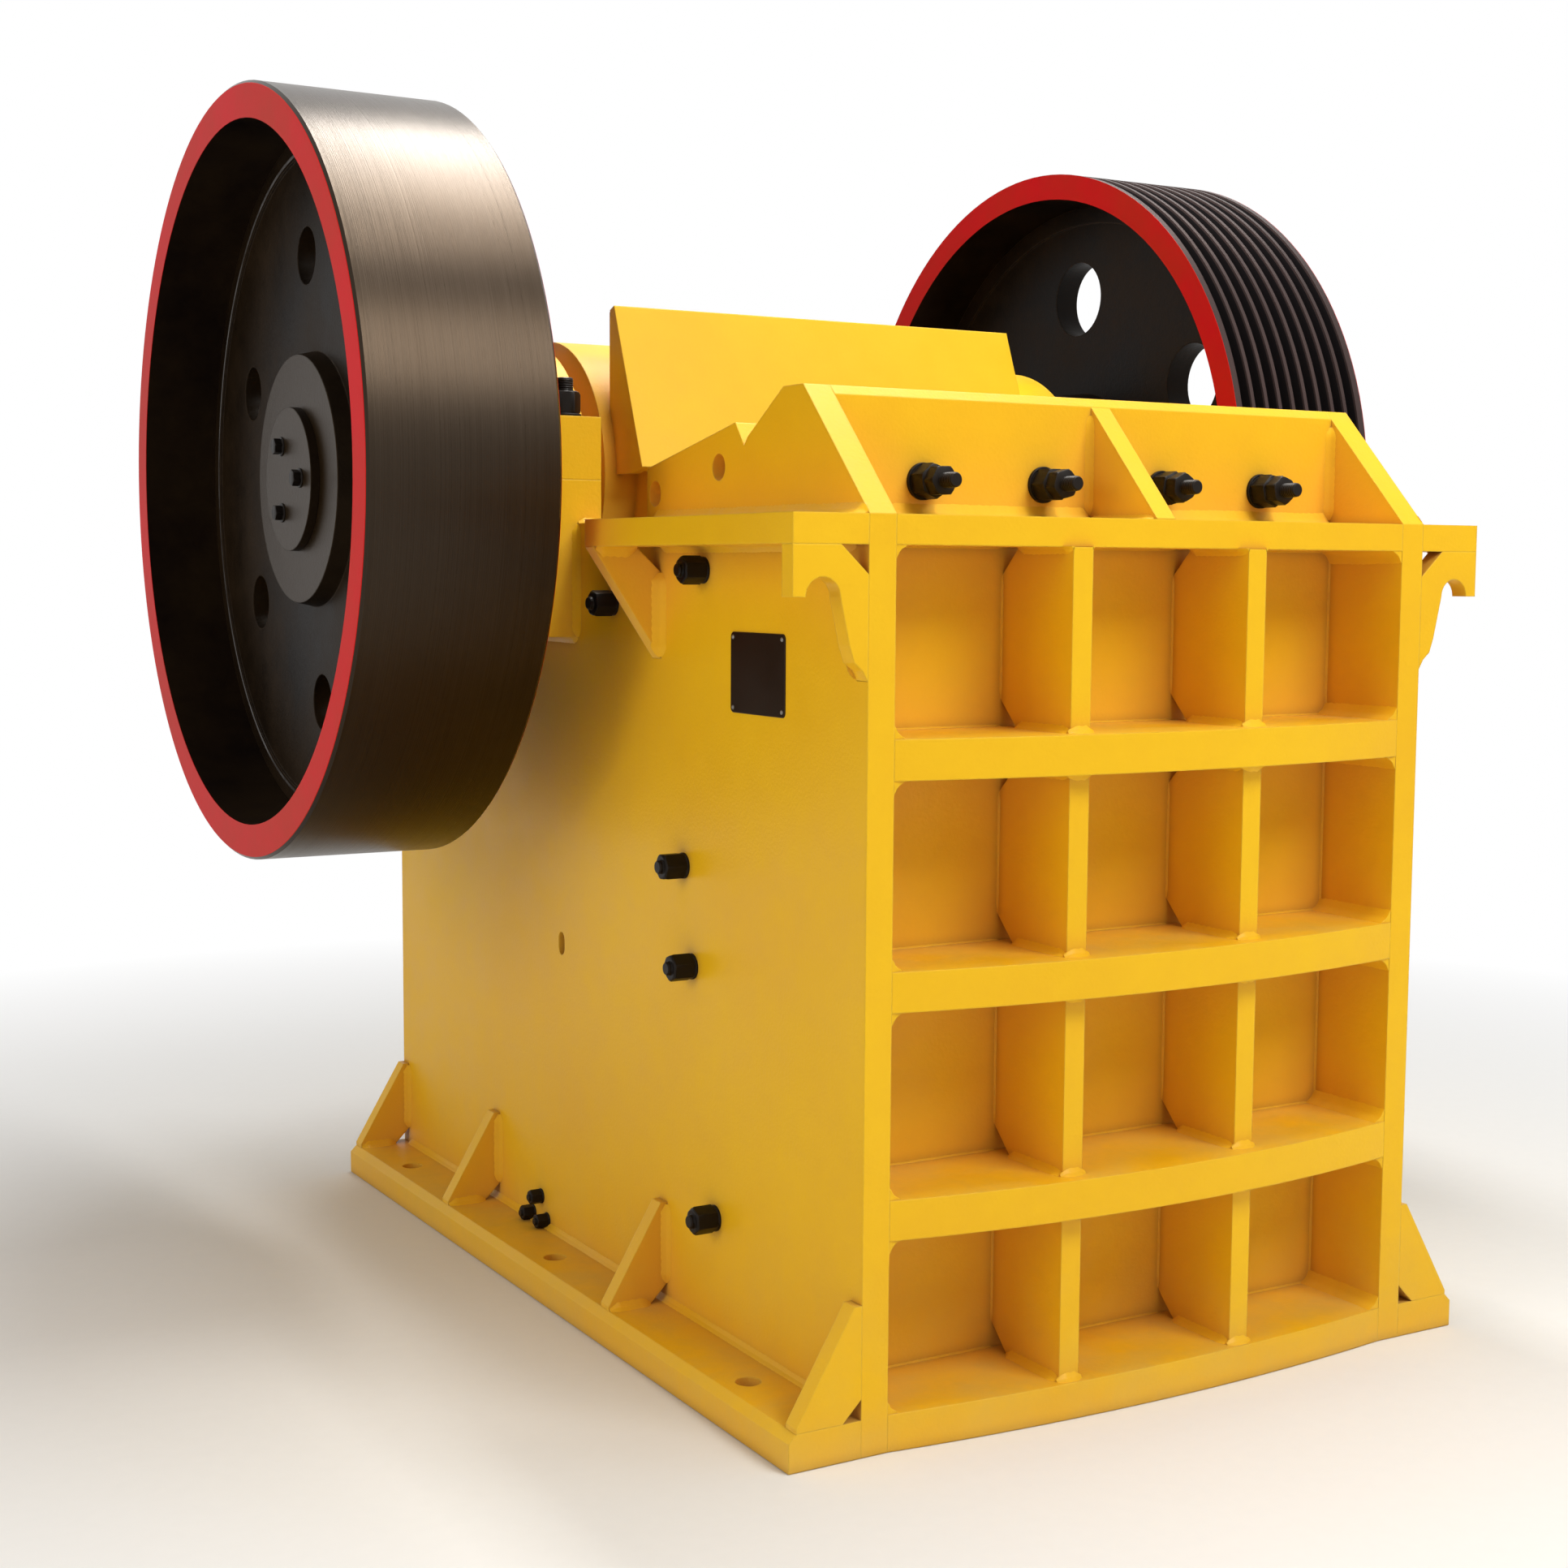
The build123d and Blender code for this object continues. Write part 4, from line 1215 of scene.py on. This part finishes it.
@dataclass
class FrontWall(Assembly):
    """Welds of the ribbed front wall and its cells."""

    cell_depth: float = 182.0
    stiffener_half: float = 20.0
    stiffener_x: float = 186.0
    stiffener_proud: float = 14.0
    cope: float = 46.0
    post_leg: float = 24.0
    post_start: float = 0.8
    stiffener_leg: float = 13.0
    foot_overrun: float = 6.0
    back_leg: float = 3.5

    def levels(self) -> list[Pair]:
        """Finds the four rows of cells.

        Returns:
            Bottom and top height of each row, from the floor up.
        """
        ribs = [node_box(f"front_rib_{name}") for name in ("lower", "middle", "upper")]
        bottoms = [node_box("base_front_bar")[1][2]] + [rib[1][2] for rib in ribs]
        tops = [rib[0][2] for rib in ribs] + [node_box("top_flange_front")[0][2]]
        return list(zip(bottoms, tops))

    def columns(self) -> list[Pair]:
        """Left and right X of the three columns of cells."""
        near, far = self.stiffener_x - self.stiffener_half, self.stiffener_x + self.stiffener_half
        return [(-WALL_INNER, -far), (-near, near), (far, WALL_INNER)]

    def build(self) -> None:
        """Welds round every cell, and at the feet of the stiffeners' front edges."""
        back, proud, half = self.cell_depth, -self.stiffener_proud, self.stiffener_half
        posts, corners, backs = [], [], []
        levels = self.levels()
        for bottom, top in levels:
            ends = ((bottom, "+z"), (top, "-z"))
            for left, right in self.columns():
                for x, along in ((left, "+x"), (right, "-x")):
                    at_wall = abs(x) == WALL_INNER
                    reach = 0.0 if at_wall else self.cope
                    for height, rise in ends:
                        if at_wall:
                            posts.append(seam(
                                (x, self.post_start, height), (x, back, height),
                                along, rise, self.post_leg, True))
                        else:
                            corners.append(seam(
                                (x, proud, height), (x, back - reach, height),
                                along, rise, self.stiffener_leg))
                    backs.append(seam(
                        (x, back, bottom + reach), (x, back, top - reach),
                        along, "-y", self.back_leg))
                for height, rise in ends:
                    backs.append(seam(
                        (left, back, height), (right, back, height), rise, "-y", self.back_leg))
            for x in (-self.stiffener_x, self.stiffener_x):
                for height, rise in ends:
                    if height == levels[-1][1]:
                        continue
                    reach = half + self.foot_overrun
                    corners.append(seam(
                        (x - reach, proud, height), (x + reach, proud, height),
                        "-y", rise, self.stiffener_leg))
        WeldSeams("front_post_welds", posts, seed=4, ripple=0.02).build()
        WeldSeams("front_cell_corner_welds", corners, seed=5).build()
        # The back beads take the plain enamel for its stronger corner and crevice darkening,
        # painted shade that keeps the back corners dark.
        WeldSeams("front_cell_back_welds", backs, seed=6, finish=PAINT).build()


@dataclass
class RearWall(Assembly):
    """Welds of the rear wall, return springs and the toggle's shims."""

    rod_x: float = 105.0
    rod_height: float = 150.0
    coil_radius: float = 47.0
    wire_radius: float = 9.5
    turns: float = 5.0
    end_gap: float = 0.6
    coil_inset: Pair = (10.0, 2.0)
    front_cup: tuple[Pair, ...] = ((0, 24), (0, 62), (6, 62), (10, 58), (10, 24))
    rear_cup: tuple[Pair, ...] = ((-4, 24), (-4, 60), (0, 62), (8, 62), (10, 60), (10, 24))
    cup_points: int = 40
    wire_points: int = 14
    wire_steps: int = 30
    nut: Triple = (60.0, 18.0, 10.0)
    nut_turn: float = 12.0
    shims: tuple[float, ...] = (16, 10, 10, 16, 8, 8)
    shim_pitch: float = 13.5
    shim_stack: float = 84.0
    shim_share: float = 0.75
    shim_inset: Pair = (30.0, 18.0)
    shim_stagger: Pair = (6.0, 4.0)
    shim_cut: float = 0.8
    rib_half: float = 30.0
    rib_edge: float = 6.0
    leg: float = 10.0

    def welds(self) -> None:
        """Welds of the rear cells and the rear bar."""
        _, (_, back, top) = node_box("rear_plate")
        (_, _, low), (_, rib_back, high) = node_box("rear_ribs")
        low, high = low + self.rib_half, high - self.rib_half
        runs = []
        for height in (low, (low + high) / 2, high):
            for edge, rise in ((height - self.rib_half, "-z"), (height + self.rib_half, "+z")):
                runs.append(seam(
                    (-WALL_INNER, back, edge), (WALL_INNER, back, edge), rise, "+y", self.leg))
                for side in Side:
                    x = side.value * WALL_INNER
                    runs.append(seam(
                        (x, back, edge), (x, rib_back - self.rib_edge, edge),
                        side.inward, rise, self.leg))
        bar = node_box("base_rear_bar")[1][2]
        runs.append(seam((-WALL_INNER, back, bar), (WALL_INNER, back, bar), "+z", "+y", self.leg))
        for side in Side:
            x = side.value * WALL_INNER
            runs.append(seam((x, back, bar), (x, back, top), side.inward, "+y", self.leg))
        WeldSeams("rear_wall_welds", runs, seed=8).build()

    def rise(self, wound: float, height: float) -> float:
        """Height of the wire's centre after a number of turns, with closed end turns.

        Args:
            wound: Turns from the first end.
            height: Distance between the wire's centres at both ends in mm.

        Returns:
            Height in mm.
        """
        closed = 2 * self.wire_radius + self.end_gap
        pitch = (height - 2 * closed) / (self.turns - 2)
        if wound < 1:
            return closed * wound
        if wound > self.turns - 1:
            return height - closed * (self.turns - wound)
        return closed + pitch * (wound - 1)

    def springs(self) -> None:
        """Coil springs with their cup washers, in place of the plain sleeves."""
        (_, front, _), (_, rear, _) = node_box("tension_springs")
        coil = Piece("return_springs", Body.FRAME, Slot.SPRING_STEEL, SPRING)
        nuts = fasteners("return_rod_nuts")
        start, end = front + self.coil_inset[0], rear - self.coil_inset[1]
        back = axis_of("+y")
        size = self.wire_radius * MM
        steps = int(self.turns * self.wire_steps)
        angles = [2 * math.pi * j / self.wire_points for j in range(self.wire_points)]
        flats, height, lift = self.nut
        for x in (-self.rod_x, self.rod_x):
            rings = []
            for k in range(steps + 1):
                wound = self.turns * k / steps
                turn = 2 * math.pi * wound
                out = Vector((math.cos(turn), 0.0, math.sin(turn)))
                risen = self.rise(wound, end - start - 2 * self.wire_radius)
                centre = place(x, start + self.wire_radius + risen, self.rod_height)
                centre += out * self.coil_radius * MM
                rings.append([
                    centre + (out * math.cos(angle) + back * math.sin(angle)) * size
                    for angle in angles])
            coil.loft(rings)
            coil.lathe(
                self.front_cup, place(x, front, self.rod_height), back, self.cup_points)
            plate = place(x, rear, self.rod_height)
            nuts.lathe(self.rear_cup, plate, back, self.cup_points)
            nuts.hexagon(flats, height, plate, back, lift, self.nut_turn)
        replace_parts(coil.done(), "tension_springs")
        nuts.done()

    def shim_plates(self) -> None:
        """Edges of the shim plates behind the toggle seat."""
        low, high = node_box("toggle_seat")
        piece = Piece("toggle_shims", Body.FRAME, Slot.DARK_STEEL, DARK_STEEL)
        front = node_box("rear_plate")[0][1] - self.shim_stack
        (across, down), (wide, tall) = self.shim_inset, self.shim_stagger
        for index, thickness in enumerate(self.shims):
            start = front + index * self.shim_pitch
            inset = across + wide * (index % 2)
            piece.block(
                place(low[0] + inset, start, low[2] + down),
                place(
                    high[0] - inset, start + thickness * self.shim_share,
                    high[2] - down + tall * (index % 3)),
                self.shim_cut)
        piece.done()

    def build(self) -> None:
        """Builds the rear group."""
        self.welds()
        self.springs()
        self.shim_plates()


@dataclass
class BaseAndSides(Assembly):
    """Welds of the side walls, flanges and gussets, with screws and nameplate."""

    base_top: float = 62.0
    gusset_depths: tuple[float, ...] = (0.0, 676.0, 1462.0, 2007.0)
    gusset_thickness: float = 33.0
    gusset_top: float = 246.0
    gusset_foot: float = 118.0
    gusset_leg: float = 15.0
    cope: float = 35.0
    flange_low: float = 1452.0
    flange_rear: float = 736.0
    flange_edge: float = 718.0
    flange_cope: Pair = (50.0, 46.0)
    flange_roots: Pair = (1244.0, 1254.0)
    flange_leg: float = 20.0
    frame_length: float = 2040.0
    end_inset: float = 36.0
    long_leg: float = 12.0
    cheek_inset: float = 4.0
    cheek_leg: float = 19.0
    cheek_screw: Screw = Screw(44, 42, 12, 23.5, 4, 36, 13, 44, 54)
    cheek_screws: tuple[Pair, ...] = (
        (540.0, 1411.0), (900.0, 1348.0), (613.0, 883.0), (580.0, 705.0), (491.0, 267.0))
    access_screw: Screw = Screw(27, 24, 8, 15.5, 3, 28, 8, 24, 31, 2.5)
    access_screws: tuple[Pair, ...] = ((1246.0, 120.0), (1287.0, 77.0), (1216.0, 77.0))
    plate_depths: Pair = (253.0, 437.0)
    plate_heights: Pair = (1169.0, 1307.0)
    plate_radius: float = 9.0
    corner_steps: int = 6
    plate_layers: tuple[Pair, ...] = ((-0.5, 0.0), (1.44, 0.0), (2.4, 0.9))
    rivet: tuple[Pair, ...] = ((1.5, 1), (1.5, 4.2), (2.6, 4.0), (3.8, 3.0), (4.4, 1.4))
    rivet_points: int = 20

    def welds(self, side: Side) -> None:
        """Welds of one side wall.

        Args:
            side: Side of the machine.
        """
        s, out = side.value, side.out
        wall = s * WALL_OUTER
        base, low = self.base_top, self.flange_low
        runs = [
            seam((wall, inset, height), (wall, end - inset, height), out, rise, leg)
            for inset, end, height, rise, leg in (
                (self.end_inset, self.frame_length, base, "+z", self.long_leg),
                (self.end_inset, self.flange_rear, low, "-z", self.long_leg),
                (self.cheek_inset, self.flange_rear, FLANGE_TOP, "+z", self.cheek_leg))]
        for depth in self.gusset_depths:
            for face, along in ((depth, "-y"), (depth + self.gusset_thickness, "+y")):
                if 0 < face < self.frame_length:
                    runs.append(seam(
                        (wall, face, base + self.cope), (wall, face, self.gusset_top),
                        out, along, self.gusset_leg))
                    runs.append(seam(
                        (wall + s * self.cope, face, base),
                        (wall + s * self.gusset_foot, face, base),
                        "+z", along, self.gusset_leg))
        wide, high = self.flange_cope
        faces = (self.gusset_thickness, self.flange_rear - self.gusset_thickness)
        for face, along, root in zip(faces, ("+y", "-y"), self.flange_roots):
            runs.append(seam(
                (wall, face, root), (wall, face, low - high), out, along, self.flange_leg))
            runs.append(seam(
                (wall + s * wide, face, low), (s * self.flange_edge, face, low),
                "-z", along, self.flange_leg))
        WeldSeams(f"side_welds_{side.word}", runs, seed=11).build()

    def screws(self, side: Side) -> None:
        """Cheek plate nuts and the three small screws of one side wall.

        Args:
            side: Side of the machine.
        """
        for name, screw, places, turn in (
                ("cheek_nuts", self.cheek_screw, self.cheek_screws, 17.0),
                ("access_screws", self.access_screw, self.access_screws, 23.0)):
            piece = fasteners(f"{name}_{side.word}")
            for index, (depth, height) in enumerate(places):
                seat = place(side.value * WALL_OUTER, depth, height)
                screw.add(piece, seat, axis_of(side.out), turn * index)
            piece.done()

    def nameplate(self) -> None:
        """Blank black plate with rounded corners and four rivets on the left wall."""
        plate = fasteners("nameplate", finish=PLATE_BLACK)
        (d0, d1), (z0, z1) = self.plate_depths, self.plate_heights
        radius = self.plate_radius
        corners = (
            (d1 - radius, z1 - radius, 0), (d0 + radius, z1 - radius, 90),
            (d0 + radius, z0 + radius, 180), (d1 - radius, z0 + radius, 270))
        rings = []
        for lift, inset in self.plate_layers:
            ring = []
            for depth, height, first in corners:
                for k in range(self.corner_steps + 1):
                    angle = math.radians(first + 90 * k / self.corner_steps)
                    ring.append(place(
                        -WALL_OUTER - lift, depth + (radius - inset) * math.cos(angle),
                        height + (radius - inset) * math.sin(angle)))
            rings.append(ring)
        plate.loft(rings)
        plate.done()
        rivets = fasteners("nameplate_rivets", finish=PLATE_EDGE)
        for depth in (d0 + radius, d1 - radius):
            for height in (z0 + radius, z1 - radius):
                seat = place(-WALL_OUTER, depth, height)
                rivets.lathe(self.rivet, seat, axis_of("-x"), self.rivet_points)
        rivets.done()

    def build(self) -> None:
        """Builds both sides."""
        for side in Side:
            self.welds(side)
            self.screws(side)
        self.nameplate()


@dataclass
class ClampWall(Assembly):
    """Screws and welds of the clamp wall over the front flange."""

    front: float = 188.0
    weld_low: float = 1510.0
    weld_high: float = 1680.0
    rib_half: float = 20.0
    rib_toe: float = 12.0
    foot_leg: float = 24.0
    end_leg: float = 14.0
    rib_leg: float = 12.0
    toe_leg: float = 9.0
    screw_x: tuple[float, ...] = (-367.0, -121.0, 137.0, 367.0)
    screw_height: float = 1559.0
    screw: Screw = Screw(52, 36, 13, 31, 6)
    lock_nut: Triple = (46.0, 26.0, 42.0)
    screw_end: Triple = (13.0, 68.0, 100.0)

    def screws(self) -> None:
        """Four long clamp screws with washer, nut, lock nut and tip."""
        piece = fasteners("clamp_screws")
        axis = axis_of("-y")
        flats, height, lift = self.lock_nut
        for index, x in enumerate(self.screw_x):
            seat = place(x, self.front, self.screw_height)
            self.screw.add(piece, seat, axis, 9.0 + 21 * index)
            piece.hexagon(flats, height, seat, axis, lift, 31.0 + 13 * index)
            piece.thread(*self.screw_end, seat, axis, self.screw.pitch)
        piece.done()

    def welds(self) -> None:
        """Foot, end and rib welds of the clamp wall."""
        front = self.front
        foot = [
            seam((a, front, FLANGE_TOP), (b, front, FLANGE_TOP), "-y", "+z", self.foot_leg)
            for a, b in ((-WALL_INNER, -self.rib_half), (self.rib_half, WALL_INNER))]
        WeldSeams("clamp_wall_foot_weld", foot, seed=14, ripple=0.015).build()
        runs = []
        for side in Side:
            rib = side.value * self.rib_half
            for x, along, leg in (
                    (side.value * WALL_INNER, side.inward, self.end_leg),
                    (rib, side.out, self.rib_leg)):
                runs.append(seam(
                    (x, front, self.weld_low), (x, front, self.weld_high), along, "-y", leg))
            runs.append(seam(
                (rib, self.rib_toe, FLANGE_TOP), (rib, front, FLANGE_TOP),
                side.out, "+z", self.toe_leg))
        WeldSeams("clamp_wall_welds", runs, seed=15).build()

    def build(self) -> None:
        """Builds screws and welds."""
        self.screws()
        self.welds()


@dataclass
class Bearings(Assembly):
    """Studs, cover screws, grease nipples and welds of both bearings."""

    lug_top: float = 1706.0
    stud_x: float = 594.0
    stud_depths: tuple[float, ...] = (1106.0, 1694.0)
    stud: Screw = Screw(55, 44, 20, 33, 6, thread=18, thread_start=50, tip=76)
    cover_outer: float = 722.0
    cover_circle: float = 218.0
    cover_screws: int = 8
    cover_head: Pair = (24.0, 10.0)
    crown_x: float = 617.0
    crown_radius: float = 285.0
    nipple_flats: Pair = (17.0, 9.0)
    nipple_profile: tuple[Pair, ...] = (
        (6, 3), (6, 5.4), (11, 5.2), (13, 3.4), (16, 3.3), (18, 4.8), (21, 4.8), (23, 3.2),
        (24, 1.4))
    nipple_points: int = 24
    seat_bottom: float = 1280.0
    seat_front: float = 1058.0
    seat_rear: float = 1742.0
    weld_top: float = 1498.0
    wall_leg: float = 14.0
    top_leg: float = 12.0

    def studs(self, side: Side) -> None:
        """Cap studs with washers and nuts of one bearing.

        Args:
            side: Side of the machine.
        """
        piece = fasteners(f"cap_studs_{side.word}")
        for index, depth in enumerate(self.stud_depths):
            seat = place(side.value * self.stud_x, depth, self.lug_top)
            self.stud.add(piece, seat, axis_of("+z"), 14.0 + 30 * index)
        piece.done()

    def cover(self, side: Side) -> None:
        """Ring of screws on the bearing cover.

        Args:
            side: Side of the machine.
        """
        piece = fasteners(f"cover_screws_{side.word}")
        for k in range(self.cover_screws):
            turn = 2 * math.pi * (k + 0.5) / self.cover_screws
            seat = round_shaft(side.value * self.cover_outer, self.cover_circle, turn)
            piece.hexagon(*self.cover_head, seat, axis_of(side.out), -1, 11.0 * k)
        piece.done()

    def nipple(self, side: Side) -> None:
        """Grease nipple on the crown of one cap.

        Args:
            side: Side of the machine.
        """
        up = axis_of("+z")
        seat = place(side.value * self.crown_x, SHAFT_DEPTH, SHAFT_HEIGHT + self.crown_radius)
        piece = fasteners(f"grease_nipple_{side.word}", finish=PLATE_EDGE)
        piece.hexagon(*self.nipple_flats, seat, up, -1.5)
        piece.lathe(self.nipple_profile, seat, up, self.nipple_points)
        piece.done()

    def welds(self, side: Side) -> None:
        """Seams between the bearing seat and the side wall.

        Args:
            side: Side of the machine.
        """
        wall, inner = side.value * WALL_OUTER, side.value * WALL_INNER
        low = self.seat_bottom
        edges = ((self.seat_front, "-y"), (self.seat_rear, "+y"))
        runs = [
            seam((wall, depth, low), (wall, depth, self.weld_top), side.out, along, self.wall_leg)
            for depth, along in edges]
        runs.append(seam(
            (wall, self.seat_front, low), (wall, self.seat_rear, low),
            side.out, "-z", self.wall_leg))
        runs += [
            seam((inner, depth, FLANGE_TOP), (wall, depth, FLANGE_TOP), "+z", along, self.top_leg)
            for depth, along in edges]
        WeldSeams(f"seat_welds_{side.word}", runs, seed=18).build()

    def build(self) -> None:
        """Builds both bearings."""
        for side in Side:
            self.studs(side)
            self.cover(side)
            self.nipple(side)
            self.welds(side)


@dataclass
class SwingJaw(Assembly):
    """Clamp bolts over the moving jaw plate."""

    bolt_x: tuple[float, ...] = (-300.0, 0.0, 300.0)
    face_foot: Pair = (939.6, 1467.9)
    face_top: Pair = (994.6, 1521.2)
    bolt: Screw = Screw(46, 20, 14, 29, 5)

    def build(self) -> None:
        """Sets three hexagon bolts with washers square to the sloping face of the clamp."""
        (d0, z0), (d1, z1) = self.face_foot, self.face_top
        axis = Vector((0.0, -(z1 - z0), d1 - d0)).normalized()
        piece = fasteners("jaw_clamp_bolts", Body.SWING_JAW)
        for index, x in enumerate(self.bolt_x):
            seat = place(x, (d0 + d1) / 2, (z0 + z1) / 2)
            self.bolt.add(piece, seat, axis, 19.0 * index)
        piece.done()


@dataclass
class Wheels(Assembly):
    """Screws of the shaft end caps."""

    cap_faces: Pair = (-1054.0, 1005.0)
    screw_circle: float = 75.0
    screw: Screw = Screw(28, 15, 8, 19, 3, 28)

    def build(self) -> None:
        """Adds three screws to each end cap."""
        for side, face in zip(Side, self.cap_faces):
            piece = fasteners(f"end_cap_screws_{side.word}", Body.ROTOR)
            for k in range(3):
                seat = round_shaft(face, self.screw_circle, math.radians(180.0 + 120.0 * k))
                self.screw.add(piece, seat, axis_of(side.out), 8.0 + 17 * k)
            piece.done()


@dataclass
class NodeFinishes(Assembly):
    """Materials of the carried-over solids."""

    flywheel_faces: Pair = (-1.158, -0.801)
    flywheel_bosses: Pair = (-1.036, -0.858)
    # Radii of the painted highlight ring at the flywheel's step edge.
    flywheel_step_highlight_ring: Pair = (0.6405, 0.6468)
    sheave_faces: Pair = (0.739, 1.096)
    sheave_bosses: Pair = (0.809, 0.987)
    cap_faces: Pair = (-1.054, 1.005)

    def finishes(self) -> dict[str, Finish]:
        """Chooses a finish for each node that isn't plain yellow paint.

        Returns:
            Finish by node name.
        """
        found: dict[str, Finish] = {
            "flywheel_rim": WheelRim("flywheel_rim_finish", self.flywheel_faces),
            "flywheel_web": Casting(
                "flywheel_casting", machined_faces=self.flywheel_bosses,
                step_edge_highlight_ring=self.flywheel_step_highlight_ring),
            "sheave_rim": WheelRim(
                "sheave_rim_finish", self.sheave_faces, grooved=True,
                metal=rgb(0.085, 0.058, 0.055), metal_dark=rgb(0.045, 0.029, 0.026),
                metal_roughness=(0.30, 0.46)),
            "sheave_web": Casting("sheave_casting", machined_faces=self.sheave_bosses),
            "shaft_end_caps": Casting("end_cap_steel", machined_faces=self.cap_faces),
            "bearing_covers": Casting("cover_casting"),
            "eccentric_shaft": FORGED,
            "toggle_plate": TOGGLE_CAST,
        }
        wearing = ("cheek_plates_left", "cheek_plates_right", "fixed_jaw_plate", "moving_jaw_plate")
        found.update(dict.fromkeys(wearing, WEAR_PLATE))
        found.update(dict.fromkeys(("fixed_jaw_wedge", "toggle_seat", "tension_rods"), DARK_STEEL))
        return found

    def build(self) -> None:
        """Assigns a material to every node."""
        special = self.finishes()
        for name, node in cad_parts.items():
            material = special.get(name, PAINT).material()
            node.data.materials.clear()
            node.data.materials.append(material)
            log.info("%s: %s", name, material.name)


# --------------------------------------------------------------------- the studio


@dataclass(frozen=True)
class Lamp:
    """Rectangular area lamp, with places and sizes in metres and its power in watts."""

    name: str
    spot: Triple
    aim: Triple
    size: Pair
    power: float
    tint: Triple
    glossy: bool = True
    diffuse: bool = True

    def add(self) -> None:
        """Adds the lamp to the scene, unseen by the camera."""
        data = bpy.data.lights.new(self.name, "AREA")
        data.shape = "RECTANGLE"
        data.size, data.size_y = self.size
        data.energy = self.power
        data.color = self.tint
        made = bpy.data.objects.new(self.name, data)
        bpy.context.scene.collection.objects.link(made)
        made.visible_camera = False
        made.visible_glossy = self.glossy
        made.visible_diffuse = self.diffuse
        made.location = self.spot
        aim = Vector(self.aim) - Vector(self.spot)
        made.rotation_euler = aim.to_track_quat("-Z", "Y").to_euler()


@dataclass
class Studio(Assembly):
    """Camera, floor, lamps and world."""

    camera_place: Triple = (-2.442, -3.95355, 1.41135)
    azimuth: float = -30.1636
    elevation: float = 5.4348
    roll: float = 0.3339
    focal_pixels: float = 2766.36
    picture: float = 1932.0
    sensor: float = 36.0
    clip_end: float = 200.0
    floor_half: float = 60.0
    floor_drop: float = 0.001
    soft_tint: Colour = rgb(1.0, 0.98, 0.95)
    soft_strength: float = 0.32
    lamps: tuple[Lamp, ...] = (
        Lamp("key", (1.1, -4.9, 5.2), (0, -0.6, 1.0), (3.2, 2.4), 225, (1.0, 0.98, 0.94)),
        Lamp("overhead", (0.45, 0.1, 5.5), (0.45, 0.1, 1.6), (0.55, 4.0), 170, (1.0, 0.985, 0.95)),
        Lamp("reflector", (1.2, 0.7, 5.6), (1.2, 0.7, 1.6), (3.2, 2.4), 235, (1.0, 0.98, 0.93),
             diffuse=False),
        Lamp("left_fill", (-6.2, -1.2, 2.6), (0, 0.2, 1.0), (3.5, 3.0), 96, (1.0, 0.89, 0.76),
             glossy=False))

    def camera(self) -> None:
        """Places the camera at the photograph's viewpoint."""
        az, el, roll = (math.radians(v) for v in (self.azimuth, self.elevation, self.roll))
        ahead = Vector((-math.sin(az) * math.cos(el), math.cos(az) * math.cos(el), -math.sin(el)))
        right = Vector((math.cos(az), math.sin(az), 0))
        up = right.cross(ahead)
        turned_right = math.cos(roll) * right + math.sin(roll) * up
        turned_up = -math.sin(roll) * right + math.cos(roll) * up
        data = bpy.data.cameras.new("camera")
        data.sensor_width = self.sensor
        data.lens = self.focal_pixels / self.picture * self.sensor
        data.clip_end = self.clip_end
        made = bpy.data.objects.new("camera", data)
        bpy.context.scene.collection.objects.link(made)
        turn = Matrix((turned_right, turned_up, -ahead)).transposed().to_4x4()
        made.matrix_world = Matrix.Translation(Vector(self.camera_place)) @ turn
        bpy.context.scene.camera = made

    def floor(self) -> None:
        """Plain pale floor."""
        data = bpy.data.meshes.new("floor")
        half = self.floor_half
        corners = ((-half, -half), (half, -half), (half, half), (-half, half))
        data.from_pydata([(x, y, -self.floor_drop) for x, y in corners], [], [(0, 1, 2, 3)])
        data.materials.append(StageFinish("pale_floor").material())
        made = bpy.data.objects.new("floor", data)
        bpy.context.scene.collection.objects.link(made)

    def world(self) -> None:
        """Soft surrounding light, seen as white by the camera and by reflections."""
        world = bpy.data.worlds.new("studio")
        bpy.context.scene.world = world
        world.use_nodes = True
        graph = Graph(world.node_tree)
        plain = world.node_tree.nodes["Background"]
        graph.fill(plain, {"Color": self.soft_tint, "Strength": self.soft_strength})
        graph.finish_white("OUTPUT_WORLD", plain.outputs[0], "ShaderNodeBackground")

    def build(self) -> None:
        """Sets up the view and the light."""
        self.camera()
        self.floor()
        self.world()
        for lamp in self.lamps:
            lamp.add()
        bpy.context.scene.view_settings.view_transform = "Standard"


def main() -> None:
    """Builds the studio, dresses the solids and adds every piece."""
    logging.basicConfig(level=logging.INFO, format="%(message)s")
    assemblies: list[Assembly] = [
        Studio(), NodeFinishes(), FrontWall(), RearWall(), BaseAndSides(), ClampWall(),
        Bearings(), SwingJaw(), Wheels()]
    for assembly in assemblies:
        assembly.build()
        log.info("built %s", type(assembly).__name__)


if __name__ == "__main__":
    main()
